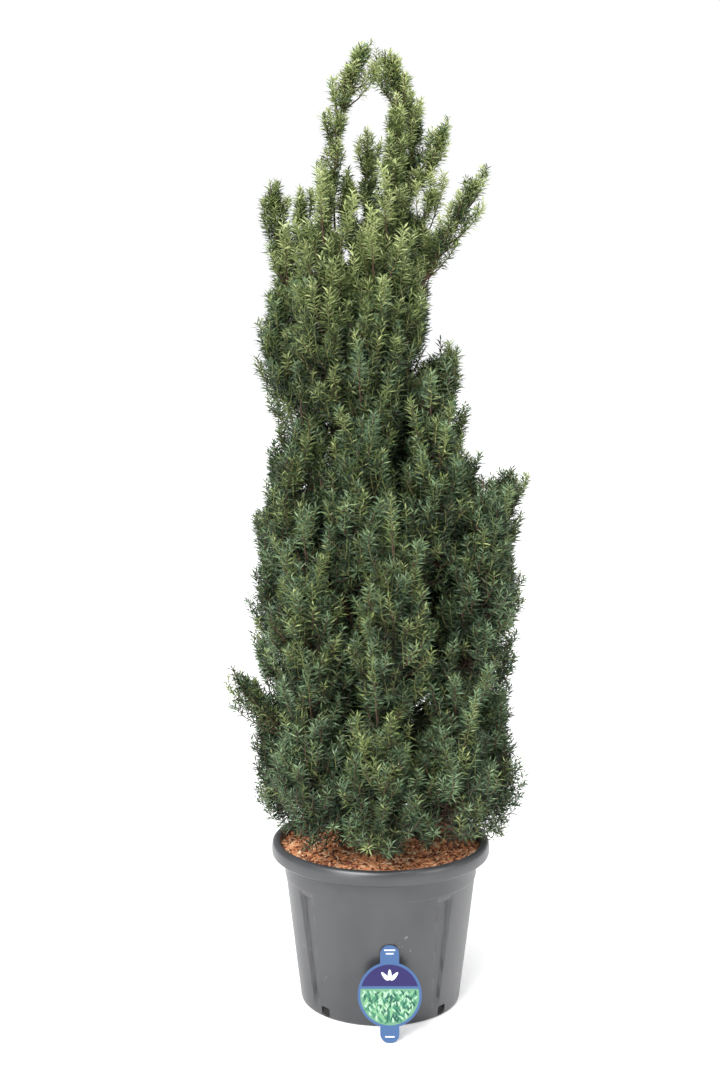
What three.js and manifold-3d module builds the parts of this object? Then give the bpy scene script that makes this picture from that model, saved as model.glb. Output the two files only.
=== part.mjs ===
// A potted Hillii yew: a tall, many-stemmed conifer in a dark grey nursery pot topped with bark mulch.
// Units are millimetres and +Z is up. The origin is the middle of the pot's underside, on the floor.
// The side of the plant that shows best faces -Y. Azimuths are in degrees from that side, and grow
// towards +X.
import * as THREE from 'three';
import { mergeVertices } from 'three/addons/utils/BufferGeometryUtils.js';
import Module from 'manifold-3d';

const wasm = await Module();
wasm.setup();

// Driving dimensions.

// The gap that neighbouring solids keep.
const CLEAR = 0.3;

// The shortest edge that a mass keeps.
const TINY = 0.05;

const POT = {
  height: 410,
  footRadius: 197,
  flare: 0.117,
  wall: 4,
  floor: 6,
  seam: 320,
  collarStep: 2,
  collarTop: 370,
  collarRadius: 241,
  lipRadius: 269,
  lipInner: 248,
};

// The four shallow flutes: how deep they are at each height, and half their width low and high up.
const FLUTE = {
  azimuths: [-139, -51, 41, 131],
  depths: [[30, 0], [52, 6], [296, 9], [315, 0]],
  halfWidthLow: 8,
  halfWidthHigh: 26,
  linesBetween: 4,
};

const NOTCH = { count: 8, first: -42.5, width: 26, low: 7, high: 29, depth: 14 };

const MULCH = { edge: 389, middle: 396, flatRadius: 60 };

// The loose tag that leans on the front of the pot.
const TAG = {
  x: 19,
  discRadius: 75.5,
  tabWidth: 45,
  topTab: 38.6,
  footTab: 34.5,
  thickness: 1.2,
  lean: 16.5,
};

// The leader, from the mulch to the foot of its last plume: x, y and height of the points that its
// curve is drawn through, its radii, and the root flare's extra radius and height.
const TRUNK = {
  through: [[0, 0, 396.3], [0, 0, 470], [7, 6, 900], [10, 2, 1350], [14, 0, 1650], [20, -2, 1900], [42, -5, 2035]],
  footRadius: 21,
  tipRadius: 4.5,
  flareRadius: 15,
  flareHeight: 34,
  sides: 8,
  rings: 15,
};

// Each bough leaves the leader at the height root and ends where it enters its mass.
const BOUGHS = {
  left_leader: { root: 610, bend: [-150, -10, 1180], tip: [-110, 0, 1885], foot: 13, end: 6 },
  left_stem: { root: 930, bend: [-110, 60, 1300], tip: [-165, 52, 1690], foot: 11, end: 5.5 },
  right_long: { root: 1290, bend: [50, -45, 1480], tip: [84, -20, 1745], foot: 8, end: 5 },
  right_shoulder: { root: 690, bend: [90, -25, 850], tip: [118, -12, 1110], foot: 11, end: 6 },
  right_plume: { root: 520, bend: [170, -10, 600], tip: [214, -8, 860], foot: 10, end: 6 },
};
const BOUGH_SIDES = 5;
const BOUGH_RINGS = 5;

// Rings of plumes round the leader, from the skirt up. A plume's axis runs from its foot (on the
// leader at the height root, or on a bough's tip) past an elbow to a tip, each at its own distance
// from the ring's middle line and its own height, which lifts raise. Roots stand at staggered heights,
// climb apart. Girth is how far its needles reach from the axis, and bare the share of the axis that
// bears none.
const TIERS = [
  {
    name: 'skirt', count: 8, first: 0, middle: [4, 0], root: 424, climb: 4,
    lifts: [0, 0, -10, 12, 0, 0, 0, 0],
    elbow: [304, 412], tip: [252, 790], girth: 112, bare: 0.28, seed: 100,
  },
  {
    name: 'low', count: 7, first: -95, middle: [8, 0], root: 640, climb: 12,
    elbow: [292, 720], tip: [258, 1150], lifts: [110, 0, 0, 175, 140, 0, 20],
    girth: 114, bare: 0.3, seed: 200,
  },
  {
    name: 'middle', count: 7, first: -116, skip: 3, middle: [-16, 0],
    bough: { root: 780, tip: [88, 1040], foot: 9, end: 6 }, climb: 28,
    lifts: [0, 0, 0, 0, -13, 0, 0],
    elbow: [250, 1040], tip: [180, 1500], girth: 100, bare: 0.12, seed: 300,
  },
  {
    name: 'high', count: 5, first: -90, middle: [-90, 0], root: 1350, climb: 22,
    elbow: [190, 1390], tip: [124, 1870], lifts: [-80, 0, 0, 0, 0],
    girth: 96, bare: 0.3, seed: 400,
  },
];

// The plumes that stand out of the rings: the shoulder, the shoots of the top and the long side shoots.
const PLUMES = [
  { name: 'shoulder', on: 'right_shoulder', elbow: [168, -5, 1240], tip: [140, 0, 1632], girth: 80 },
  { name: 'right_plume', on: 'right_plume', elbow: [262, -5, 980], tip: [314, 0, 1325], girth: 66 },
  { name: 'front_right', root: 980, elbow: [150, -200, 1030], tip: [112, -128, 1480], girth: 90, bare: 0.3 },
  { name: 'front_high', root: 1290, elbow: [-22, -220, 1370], tip: [-18, -120, 1800], girth: 80, bare: 0.3 },
  { name: 'left_spike', root: 540, elbow: [-244, -70, 640], tip: [-358, -84, 852], girth: 46, bare: 0.4 },
  { name: 'left_cluster', on: 'left_stem', elbow: [-250, 20, 1760], tip: [-262, 0, 2000], girth: 50 },
  { name: 'left_inner', root: 1590, elbow: [-180, -30, 1700], tip: [-192, -10, 1985], girth: 50, bare: 0.3 },
  { name: 'left_front', root: 1560, elbow: [-130, -70, 1720], tip: [-132, -44, 2024], girth: 50, bare: 0.3 },
  { name: 'arch_left', on: 'left_leader', elbow: [-128, 6, 2190], tip: [-22, 2, 2322], girth: 40 },
  { name: 'arch_right', root: 2030, elbow: [66, 0, 2190], tip: [2, 0, 2296], girth: 46 },
  { name: 'right_twin', root: 1930, elbow: [112, 0, 1990], tip: [154, 0, 2146], girth: 34 },
  { name: 'right_long', on: 'right_long', elbow: [160, -25, 1860], tip: [246, -20, 2032], girth: 42 },
  { name: 'right_small', root: 1800, elbow: [88, -20, 1870], tip: [126, -15, 1982], girth: 34 },
  { name: 'leader_right', root: 1580, elbow: [110, 20, 1650], tip: [84, 10, 1915], girth: 56 },
  { name: 'inner_left', root: 1640, elbow: [-85, -40, 1760], tip: [-78, -20, 2032], girth: 48 },
  { name: 'inner_right', root: 1720, elbow: [-44, 10, 1800], tip: [-34, -5, 2120], girth: 50 },
  { name: 'collar_front', root: 1790, elbow: [30, -66, 1930], tip: [34, -34, 2196], girth: 46 },
  { name: 'collar_back', root: 1760, elbow: [60, 70, 1890], tip: [84, 36, 2190], girth: 48 },
];
const PLUME_SEED = 500;
const PLUME_BARE = 0.1;

// A plume thicker than this is dense, and any other slender.
const DENSE_GIRTH = 51;

// A plume's core: its share of the girth, its sides, and the length of each of its bands.
const CORE = {
  dense: { share: 0.28, sides: 5, band: 80 },
  slender: { share: 0.2, sides: 4, band: 64 },
  fewestBands: 3,
  lowest: 0.02,
  highest: 0.9,
};

// How far the lowest twigs and the topmost lean away from the axis, in degrees.
const LEAN = [78, 34];

// The needles of a spray: how far they stand out, as a share of the spray's length, and forward.
const NEEDLE = { out: 0.25, forward: 0.28 };

// A spray that would touch anything is tried at each of these shares of its length, then left out.
const TRIED_LENGTHS = [1, 0.75, 0.5];

// The wander of a ring's plumes: degrees round the ring, millimetres up, and share of the girth.
const WANDER = { turn: 5, rise: 26, girth: 0.08 };

// Colours, roughness and metalness of each finish.
const FINISH = {
  plastic: new THREE.MeshStandardMaterial({ color: 0x6f7072, roughness: 0.42, metalness: 0 }),
  mulch: new THREE.MeshStandardMaterial({ color: 0x9a6a4c, roughness: 0.95, metalness: 0 }),
  bark: new THREE.MeshStandardMaterial({ color: 0x6b4636, roughness: 0.9, metalness: 0 }),
  oldNeedles: new THREE.MeshStandardMaterial({ color: 0x3a4a30, roughness: 0.7, metalness: 0 }),
  youngNeedles: new THREE.MeshStandardMaterial({ color: 0x72804f, roughness: 0.65, metalness: 0 }),
  tag: new THREE.MeshStandardMaterial({ color: 0x2f5f9e, roughness: 0.35, metalness: 0 }),
};

const radians = THREE.MathUtils.degToRad;
const lerp = THREE.MathUtils.lerp;
const vector = ([x, y, z]) => new THREE.Vector3(x, y, z);

// The point at an azimuth, a distance from a middle line, and a height.
function around(azimuth, distance, height, middle = [0, 0]) {
  const angle = radians(azimuth);
  return new THREE.Vector3(
    middle[0] + distance * Math.sin(angle),
    middle[1] - distance * Math.cos(angle),
    height,
  );
}

// A seeded stream of numbers from 0 to 1, so that each twig keeps its place when another changes.
function numbersFrom(seed) {
  let state = seed >>> 0;
  return () => {
    state = (state + 0x6d2b79f5) >>> 0;
    let mixed = Math.imul(state ^ (state >>> 15), 1 | state);
    mixed = (mixed + Math.imul(mixed ^ (mixed >>> 7), 61 | mixed)) ^ mixed;
    return ((mixed ^ (mixed >>> 14)) >>> 0) / 4294967296;
  };
}

// Between closed geometries and the solids that are joined and cut.

function solidOf(geometry) {
  const bare = new THREE.BufferGeometry();
  bare.setAttribute('position', geometry.getAttribute('position'));
  bare.setIndex(geometry.index);
  const merged = mergeVertices(bare, 1e-3);
  return new wasm.Manifold(
    new wasm.Mesh({
      numProp: 3,
      vertProperties: merged.attributes.position.array,
      triVerts: new Uint32Array(merged.index.array),
    }),
  );
}

function geometryOf(solid) {
  const mesh = solid.getMesh();
  const geometry = new THREE.BufferGeometry();
  geometry.setAttribute('position', new THREE.BufferAttribute(mesh.vertProperties, 3));
  geometry.setIndex(new THREE.BufferAttribute(mesh.triVerts, 1));
  const facets = geometry.toNonIndexed();
  facets.computeVertexNormals();
  return facets;
}

// The largest of a solid's separate bodies: what a cut leaves loose is dropped.
function largestBody(solid) {
  const bodies = solid.decompose();
  return bodies.reduce((best, body) => (body.volume() > best.volume() ? body : best));
}

function boxesMeet(a, b, margin) {
  const boxA = a.boundingBox();
  const boxB = b.boundingBox();
  return [0, 1, 2].every(
    (axis) => boxA.min[axis] - margin < boxB.max[axis] && boxB.min[axis] - margin < boxA.max[axis],
  );
}

// A solid as it is stored: edges shorter than TINY are drawn together, and what that parts from the
// solid is dropped.
const settled = (solid) => largestBody(solidOf(geometryOf(solid.simplify(TINY))));

// A closed surface from rings of points of the same count. A ring of one point is a pole.
function skinOf(rings) {
  const positions = [];
  const index = [];
  const starts = rings.map((ring) => {
    const start = positions.length / 3;
    ring.forEach((point) => positions.push(point.x, point.y, point.z));
    return start;
  });
  for (let r = 0; r + 1 < rings.length; r += 1) {
    const count = Math.max(rings[r].length, rings[r + 1].length);
    for (let i = 0; i < count; i += 1) {
      const next = (i + 1) % count;
      const low = (step) => starts[r] + (rings[r].length === 1 ? 0 : step);
      const high = (step) => starts[r + 1] + (rings[r + 1].length === 1 ? 0 : step);
      if (rings[r].length > 1) index.push(low(i), low(next), high(i));
      if (rings[r + 1].length > 1) index.push(low(next), high(next), high(i));
    }
  }
  const geometry = new THREE.BufferGeometry();
  geometry.setAttribute('position', new THREE.Float32BufferAttribute(positions, 3));
  geometry.setIndex(index);
  return geometry;
}

// The pot, its fill and its tag.

const wallRadius = (height) => POT.footRadius + POT.flare * height;

// The azimuths of a turned shape's lines: four to each flute, following its taper, and the rest evenly
// between the flutes.
function lineAzimuths(height) {
  const share = THREE.MathUtils.clamp(height / POT.seam, 0, 1);
  const half = lerp(FLUTE.halfWidthLow, FLUTE.halfWidthHigh, share) / wallRadius(height);
  const edge = THREE.MathUtils.radToDeg(half);
  const azimuths = [];
  FLUTE.azimuths.forEach((middle, i) => {
    azimuths.push(middle - edge, middle - 0.6 * edge, middle + 0.6 * edge, middle + edge);
    const last = i + 1 === FLUTE.azimuths.length;
    const following = FLUTE.azimuths[(i + 1) % FLUTE.azimuths.length] + (last ? 360 : 0);
    for (let k = 1; k <= FLUTE.linesBetween; k += 1) {
      azimuths.push(lerp(middle + edge, following - edge, k / (FLUTE.linesBetween + 1)));
    }
  });
  return azimuths;
}

// A profile of [radius, height, flute depth] turned round the Z axis, with the flutes pressed in.
function turned(profile) {
  const perFlute = 4 + FLUTE.linesBetween;
  const rings = profile.map(([radius, height, depth = 0]) => {
    if (radius === 0) return [new THREE.Vector3(0, 0, height)];
    return lineAzimuths(height).map((azimuth, i) => {
      const pressed = i % perFlute === 1 || i % perFlute === 2;
      return around(azimuth, radius - (pressed ? depth : 0), height);
    });
  });
  return solidOf(skinOf(rings));
}

// The profile of the pot's inside up to its collar, drawn in by a gap.
const insideProfile = (gap) => [
  [0, POT.floor + gap],
  [wallRadius(POT.floor) - POT.wall - gap, POT.floor + gap],
  ...FLUTE.depths.map(([height, depth]) => [wallRadius(height) - POT.wall - gap, height, depth]),
  [POT.collarRadius - POT.wall - gap, POT.collarTop],
];

function pot() {
  const rim = POT.height;
  const outside = turned([
    [0, 0],
    [POT.footRadius - 5, 0],
    [wallRadius(POT.floor), POT.floor],
    ...FLUTE.depths.map(([height, depth]) => [wallRadius(height), height, depth]),
    [wallRadius(POT.seam) + POT.collarStep, POT.seam + 1],
    [POT.collarRadius, POT.collarTop],
    [POT.lipRadius - 6, POT.collarTop + 1],
    [POT.lipRadius, POT.collarTop + 10],
    [POT.lipRadius - 3, rim - 6],
    [POT.lipRadius - 12, rim],
    [0, rim],
  ]);
  const inside = turned([
    ...insideProfile(0),
    [POT.lipInner, rim - 6],
    [POT.lipRadius - 13, rim + 1],
    [0, rim + 1],
  ]);
  let body = outside.subtract(inside);
  for (let k = 0; k < NOTCH.count; k += 1) {
    const azimuth = NOTCH.first + (360 / NOTCH.count) * k;
    const box = new THREE.BoxGeometry(NOTCH.width, NOTCH.depth, NOTCH.high - NOTCH.low);
    box.rotateZ(radians(azimuth));
    const middle = (NOTCH.low + NOTCH.high) / 2;
    const place = around(azimuth, wallRadius(middle), middle);
    box.translate(place.x, place.y, place.z);
    body = body.subtract(solidOf(box));
  }
  return body;
}

// Soil and mulch as one solid that fills the pot, with the mulch's crowned top.
function mulch() {
  const slope = (POT.lipInner - POT.collarRadius + POT.wall) / (POT.height - 6 - POT.collarTop);
  const edgeRadius = POT.collarRadius - POT.wall + slope * (MULCH.edge - POT.collarTop);
  return turned([
    ...insideProfile(CLEAR),
    [edgeRadius - 2 * CLEAR, MULCH.edge],
    [MULCH.flatRadius, MULCH.middle],
    [0, MULCH.middle],
  ]);
}

function tag() {
  const half = TAG.tabWidth / 2;
  const shoulder = Math.asin(half / TAG.discRadius);
  const corner = 10;
  const top = TAG.discRadius + TAG.topTab;
  const foot = -TAG.discRadius - TAG.footTab;
  const shape = new THREE.Shape();
  shape.moveTo(half, top - corner);
  shape.lineTo(half - corner, top);
  shape.lineTo(corner - half, top);
  shape.lineTo(-half, top - corner);
  shape.absarc(0, 0, TAG.discRadius, Math.PI / 2 + shoulder, 1.5 * Math.PI - shoulder, false);
  shape.lineTo(-half, foot + corner);
  shape.lineTo(corner - half, foot);
  shape.lineTo(half - corner, foot);
  shape.lineTo(half, foot + corner);
  shape.absarc(0, 0, TAG.discRadius, -Math.PI / 2 + shoulder, Math.PI / 2 - shoulder, false);
  const plate = new THREE.ExtrudeGeometry(shape, {
    depth: TAG.thickness,
    bevelEnabled: false,
    curveSegments: 8,
  });
  // Stood up with its back towards the pot, on the middle of its foot's back edge, then leaned back.
  plate.rotateX(Math.PI / 2);
  plate.translate(0, 0, -foot);
  plate.rotateX(radians(-TAG.lean));
  const lean = radians(TAG.lean);
  const length = top - foot;
  const sink = TAG.thickness * Math.sin(lean);
  const topHeight = length * Math.cos(lean) + sink;
  const away = wallRadius(topHeight) + 2 * CLEAR;
  plate.translate(TAG.x, -away - length * Math.sin(lean), sink);
  return solidOf(plate);
}

// Limbs.

// A closed tapering tube round a curve, with flat ends square to it, grown on all sides by a gap.
function limb(curve, radiusAt, sides, rings, grow = 0) {
  const frames = curve.computeFrenetFrames(rings, false);
  const turn = (2 * Math.PI) / sides;
  const outward = grow / Math.cos(turn / 2);
  const layers = [];
  const middles = [];
  for (let r = 0; r <= rings; r += 1) {
    const past = (r === rings ? grow : 0) - (r === 0 ? grow : 0);
    const middle = curve.getPoint(r / rings).addScaledVector(frames.tangents[r], past);
    const radius = radiusAt(r / rings) + outward;
    const layer = [];
    for (let i = 0; i < sides; i += 1) {
      layer.push(
        middle
          .clone()
          .addScaledVector(frames.normals[r], radius * Math.cos(i * turn))
          .addScaledVector(frames.binormals[r], radius * Math.sin(i * turn)),
      );
    }
    layers.push(layer);
    middles.push(middle);
  }
  return solidOf(skinOf([[middles[0]], ...layers, [middles[rings]]]));
}

const trunkCurve = new THREE.CatmullRomCurve3(TRUNK.through.map(vector), false, 'centripetal');

function trunkRadius(share) {
  const height = trunkCurve.getPoint(share).z - MULCH.middle;
  const flare = TRUNK.flareRadius * Math.exp(-height / TRUNK.flareHeight);
  return lerp(TRUNK.footRadius, TRUNK.tipRadius, share ** 0.9) + flare;
}

const trunk = (grow) => limb(trunkCurve, trunkRadius, TRUNK.sides, TRUNK.rings, grow);

// The point on the leader's middle line at a height.
function onTrunk(height) {
  let low = 0;
  let high = 1;
  for (let step = 0; step < 30; step += 1) {
    const middle = (low + high) / 2;
    if (trunkCurve.getPoint(middle).z < height) low = middle;
    else high = middle;
  }
  return trunkCurve.getPoint(low);
}

function boughOf({ root, bend, tip, foot, end }) {
  const curve = new THREE.QuadraticBezierCurve3(onTrunk(root), bend, tip);
  const radiusAt = (share) => lerp(foot, end, share);
  return { curve, solid: (grow) => limb(curve, radiusAt, BOUGH_SIDES, BOUGH_RINGS, grow) };
}

// Masses of needles.

// The share of a plume's girth that its needles reach at a share of its leafy length.
const fullness = (share) => Math.sin(Math.PI * THREE.MathUtils.clamp(share, 0, 1) ** 0.8) ** 0.55;

// Twenty-one stations along a plume's leafy length, each with the girth there: the plume's own space.
function spaceOf(plume) {
  const stations = [];
  for (let i = 0; i <= 20; i += 1) {
    const share = i / 20;
    stations.push({
      point: plume.axis.getPoint(lerp(plume.bare, 1, share)),
      reach: Math.max(plume.girth * fullness(share), 0.25 * plume.girth),
    });
  }
  return stations;
}

// How deep a point lies in a plume's space: 0 on its axis and 1 at its needles' reach.
function depthIn(plume, point) {
  return Math.min(...plume.space.map(({ point: station, reach }) => point.distanceTo(station) / reach));
}

const keepsToItself = (plume, plumes, point) => {
  const own = depthIn(plume, point);
  return plumes.every((other) => other === plume || depthIn(other, point) > own);
};

// The twigs of a plume stand in staggered whorls, one over each side face of its core. Each has its
// share of the leafy axis, its turn round it, and the tip that it reaches: far out low down, and more
// along the axis near the plume's tip.
function twigsOf(plume) {
  const { sides } = plume.core;
  const twigs = [];
  for (let band = 0; band + 1 < plume.whorls.length; band += 1) {
    for (let k = 0; k < 2 * sides; k += 1) {
      const upper = k % 2;
      const random = numbersFrom(plume.seed * 1000 + band * 20 + k);
      const share = lerp(plume.whorls[band], plume.whorls[band + 1], upper ? 0.67 : 0.33);
      const turn = ((k + 1 + band) * Math.PI) / sides + 0.35 * (random() - 0.5);
      const lean = radians(lerp(LEAN[0], LEAN[1], share) + 12 * (random() - 0.5));
      const along = lerp(plume.bare, 1, share);
      const ahead = plume.axis.getTangent(along);
      const { aside, over } = squareTo(ahead);
      const out = aside.multiplyScalar(Math.cos(turn)).addScaledVector(over, Math.sin(turn));
      const reach = plume.girth * fullness(share) * lerp(0.84, 1.08, random());
      const rise = Math.min(reach / Math.tan(lean), (1 - share) * plume.leafy);
      const tip = plume.axis.getPoint(along).addScaledVector(out, reach).addScaledVector(ahead, rise);
      twigs.push({ band, k, share, out, tip });
    }
  }
  return twigs;
}

// A spray: a slim three-sided spike drawn out of a face to a tip, with a needle standing out of each of
// its sides and leaning forward. Gives its triangles as corner points.
function spray([a, b, c], tip) {
  const middle = a.clone().add(b).add(c).divideScalar(3);
  const ahead = tip.clone().sub(middle);
  const length = ahead.length();
  const faces = [];
  [[a, b], [b, c], [c, a]].forEach(([p, q]) => {
    const normal = q.clone().sub(p).cross(tip.clone().sub(p)).normalize();
    const point = p.clone().add(q).add(tip).divideScalar(3)
      .addScaledVector(normal, NEEDLE.out * length)
      .addScaledVector(ahead, NEEDLE.forward);
    faces.push([p, q, point], [q, tip, point], [tip, p, point]);
  });
  return faces;
}

function solidOfFaces(faces) {
  const positions = faces.flat().flatMap((point) => [point.x, point.y, point.z]);
  const geometry = new THREE.BufferGeometry();
  geometry.setAttribute('position', new THREE.Float32BufferAttribute(positions, 3));
  return solidOf(geometry);
}

// The directions square to a heading: level, and the one over it.
function squareTo(heading) {
  const aside = new THREE.Vector3(-heading.y, heading.x, 0);
  if (aside.lengthSq() < 1e-6) aside.set(1, 0, 0);
  aside.normalize();
  return { aside, over: new THREE.Vector3().crossVectors(heading, aside) };
}

function ringRound(middle, heading, radius, count, offset) {
  const { aside, over } = squareTo(heading);
  return Array.from({ length: count }, (_, i) => {
    const turn = ((i + offset) * 2 * Math.PI) / count;
    return middle.clone()
      .addScaledVector(aside, radius * Math.cos(turn))
      .addScaledVector(over, radius * Math.sin(turn));
  });
}

// The bare stem of a plume, from its foot up into its core.
function stemOf(plume) {
  const last = lerp(plume.bare, 1, plume.whorls[0] + 0.12);
  const points = [];
  for (let i = 0; i <= 4; i += 1) points.push(plume.axis.getPoint((last * i) / 4));
  const curve = new THREE.CatmullRomCurve3(points);
  return limb(curve, (share) => lerp(plume.stem, plume.stem * 0.6, share), 4, 4);
}

// The faces of a plume's core: the cap at its foot, its sides (each under the twig of its number), and
// the cap that draws in to the plume's tip.
function coreOf(plume, size) {
  const { sides } = plume.core;
  const rings = plume.whorls.map((share, r) => {
    const along = lerp(plume.bare, 1, share);
    const radius = size * plume.core.share * plume.girth * fullness(share + 0.04);
    return ringRound(plume.axis.getPoint(along), plume.axis.getTangent(along), radius, sides, 0.5 * r);
  });
  const low = plume.axis.getPoint(plume.bare);
  const high = plume.axis.getPoint(1);
  const foot = [];
  const flanks = [];
  const top = [];
  for (let r = 0; r + 1 < rings.length; r += 1) {
    for (let i = 0; i < sides; i += 1) {
      const next = (i + 1) % sides;
      flanks.push([rings[r][i], rings[r][next], rings[r + 1][i]]);
      flanks.push([rings[r][next], rings[r + 1][next], rings[r + 1][i]]);
    }
  }
  for (let i = 0; i < sides; i += 1) {
    const next = (i + 1) % sides;
    foot.push([low, rings[0][next], rings[0][i]]);
    top.push([rings.at(-1)[i], rings.at(-1)[next], high]);
  }
  return { foot, flanks, top, solid: solidOfFaces([...foot, ...flanks, ...top]) };
}

// Each mass is a stem and a core, cut clear of the limbs and smaller where a neighbour is near, with
// the sprays drawn out of the core's sides that keep to their own space and touch neither a neighbour,
// a limb nor the base.
function growMasses(plumes, grownLimbs, base) {
  const near = (solid, others) => others.filter((other) => boxesMeet(solid, other, 1));
  const touches = (solid, others) => near(solid, others).some((other) => solid.minGap(other, 2) < 1);
  const cutClear = (solid) => near(solid, grownLimbs).reduce((left, other) => left.subtract(other), solid);
  plumes.forEach((plume) => {
    const built = plumes.filter((other) => other.solid).map((other) => other.solid);
    plume.stemSolid = largestBody(cutClear(stemOf(plume)));
    let size = 1;
    while (size > 0.4 && touches(coreOf(plume, size).solid, built)) size -= 0.1;
    plume.coreFaces = coreOf(plume, size);
    plume.solid = plume.stemSolid.add(plume.coreFaces.solid);
  });
  plumes.forEach((plume) => {
    const others = plumes.filter((other) => other !== plume);
    const neighbours = [...base, ...grownLimbs, ...others.map((other) => other.solid)];
    const { foot, flanks, top } = plume.coreFaces;
    const faces = [...foot];
    const drawn = [plume.coreFaces.solid, plume.stemSolid];
    const draw = (face, tip) => {
      const middle = face[0].clone().add(face[1]).add(face[2]).divideScalar(3);
      for (const share of TRIED_LENGTHS) {
        const sprayFaces = spray(face, middle.clone().lerp(tip, share));
        const solid = solidOfFaces([...sprayFaces, [face[0], face[2], face[1]]]);
        const crosses = near(solid, drawn).some((other) => solid.intersect(other).volume() > 0.01);
        if (!crosses && !touches(solid, neighbours)) {
          drawn.push(solid);
          faces.push(...sprayFaces);
          return;
        }
      }
      faces.push(face);
    };
    const twigs = twigsOf(plume);
    flanks.forEach((face, k) => {
      if (keepsToItself(plume, others, twigs[k].tip)) draw(face, twigs[k].tip);
      else faces.push(face);
    });
    faces.push(...top);
    plume.solid = settled(cutClear(solidOfFaces(faces)).add(plume.stemSolid));
  });
}

// The plan of the crown: every bough, and every plume with its axis.

const boughs = [];
const plumes = [];

function addPlume({ name, foot, elbow, tip, girth, bare, seed }) {
  const axis = new THREE.QuadraticBezierCurve3(foot, elbow, tip);
  const core = girth > DENSE_GIRTH ? CORE.dense : CORE.slender;
  const leafy = axis.getLength() * (1 - bare);
  const bands = Math.max(CORE.fewestBands, Math.round(leafy / core.band));
  const whorls = Array.from({ length: bands + 1 }, (_, r) => lerp(CORE.lowest, CORE.highest, r / bands));
  const plume = { name, axis, girth, bare, seed, core, leafy, whorls, stem: girth > DENSE_GIRTH ? 6 : 4 };
  plume.space = spaceOf(plume);
  plumes.push(plume);
}

Object.entries(BOUGHS).forEach(([name, plan]) => {
  boughs.push({
    name: `bough_${name}`,
    ...boughOf({ ...plan, bend: vector(plan.bend), tip: vector(plan.tip) }),
  });
});

TIERS.forEach((tier) => {
  for (let k = 0; k < tier.count; k += 1) {
    if (k === tier.skip) continue;
    const random = numbersFrom(tier.seed + k);
    const azimuth = tier.first + (360 / tier.count) * k + WANDER.turn * (2 * random() - 1);
    const rise = (tier.lifts?.[k] ?? 0) + WANDER.rise * (2 * random() - 1);
    const girth = tier.girth * (1 + WANDER.girth * (2 * random() - 1));
    const at = ([distance, height], lift = 0) => around(azimuth, distance, height + lift, tier.middle);
    const elbow = at(tier.elbow);
    const climb = tier.climb * ((3 * k) % tier.count);
    let foot = onTrunk((tier.bough ?? tier).root + climb);
    if (tier.bough) {
      const root = tier.bough.root + climb;
      const bend = at([tier.bough.tip[0] * 0.8, lerp(root, tier.bough.tip[1], 0.35)]);
      foot = at(tier.bough.tip);
      boughs.push({
        name: `bough_${tier.name}_${k + 1}`,
        ...boughOf({ ...tier.bough, root, bend, tip: foot }),
      });
    }
    addPlume({
      name: `mass_${tier.name}_${k + 1}`, foot, elbow, tip: at(tier.tip, rise), girth,
      bare: tier.bare, seed: tier.seed + k,
    });
  }
});

PLUMES.forEach((plan, k) => {
  addPlume({
    name: `mass_${plan.name}`,
    foot: plan.on ? vector(BOUGHS[plan.on].tip) : onTrunk(plan.root),
    elbow: vector(plan.elbow),
    tip: vector(plan.tip),
    girth: plan.girth,
    bare: plan.bare ?? PLUME_BARE,
    seed: PLUME_SEED + k,
  });
});

// The assembly.

const tree = new THREE.Group();
tree.name = 'potted_yew';

function place(name, solid, material) {
  const mesh = new THREE.Mesh(geometryOf(solid), material);
  mesh.name = name;
  tree.add(mesh);
}

const base = [pot(), mulch()];
place('pot', base[0], FINISH.plastic);
place('mulch', base[1], FINISH.mulch);
place('tag', tag(), FINISH.tag);
place('trunk', trunk(0), FINISH.bark);

const grownTrunk = trunk(CLEAR);
boughs.forEach((bough) => {
  place(bough.name, largestBody(bough.solid(0).subtract(grownTrunk)), FINISH.bark);
});
growMasses(plumes, [grownTrunk, ...boughs.map((bough) => bough.solid(CLEAR))], base);
plumes.forEach((plume) => {
  const young = plume.axis.getPoint(1).z > 1900;
  place(plume.name, plume.solid, young ? FINISH.youngNeedles : FINISH.oldNeedles);
});

export default tree;
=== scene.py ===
import math

import bpy
import numpy as np
from mathutils import Matrix, Vector, noise


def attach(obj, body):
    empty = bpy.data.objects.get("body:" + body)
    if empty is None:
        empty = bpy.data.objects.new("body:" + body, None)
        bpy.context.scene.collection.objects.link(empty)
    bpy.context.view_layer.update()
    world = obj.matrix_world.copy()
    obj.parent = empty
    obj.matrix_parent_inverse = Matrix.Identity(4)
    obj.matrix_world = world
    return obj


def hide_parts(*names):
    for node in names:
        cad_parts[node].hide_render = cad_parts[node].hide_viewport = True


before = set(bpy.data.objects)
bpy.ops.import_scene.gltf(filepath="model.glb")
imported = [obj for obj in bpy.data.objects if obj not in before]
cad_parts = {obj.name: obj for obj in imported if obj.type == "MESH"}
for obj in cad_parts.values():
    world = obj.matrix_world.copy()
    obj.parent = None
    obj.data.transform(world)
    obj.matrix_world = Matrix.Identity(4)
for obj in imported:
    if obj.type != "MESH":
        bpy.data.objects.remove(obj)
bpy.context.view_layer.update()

MM = 0.001
CLEAR = 0.3

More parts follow.
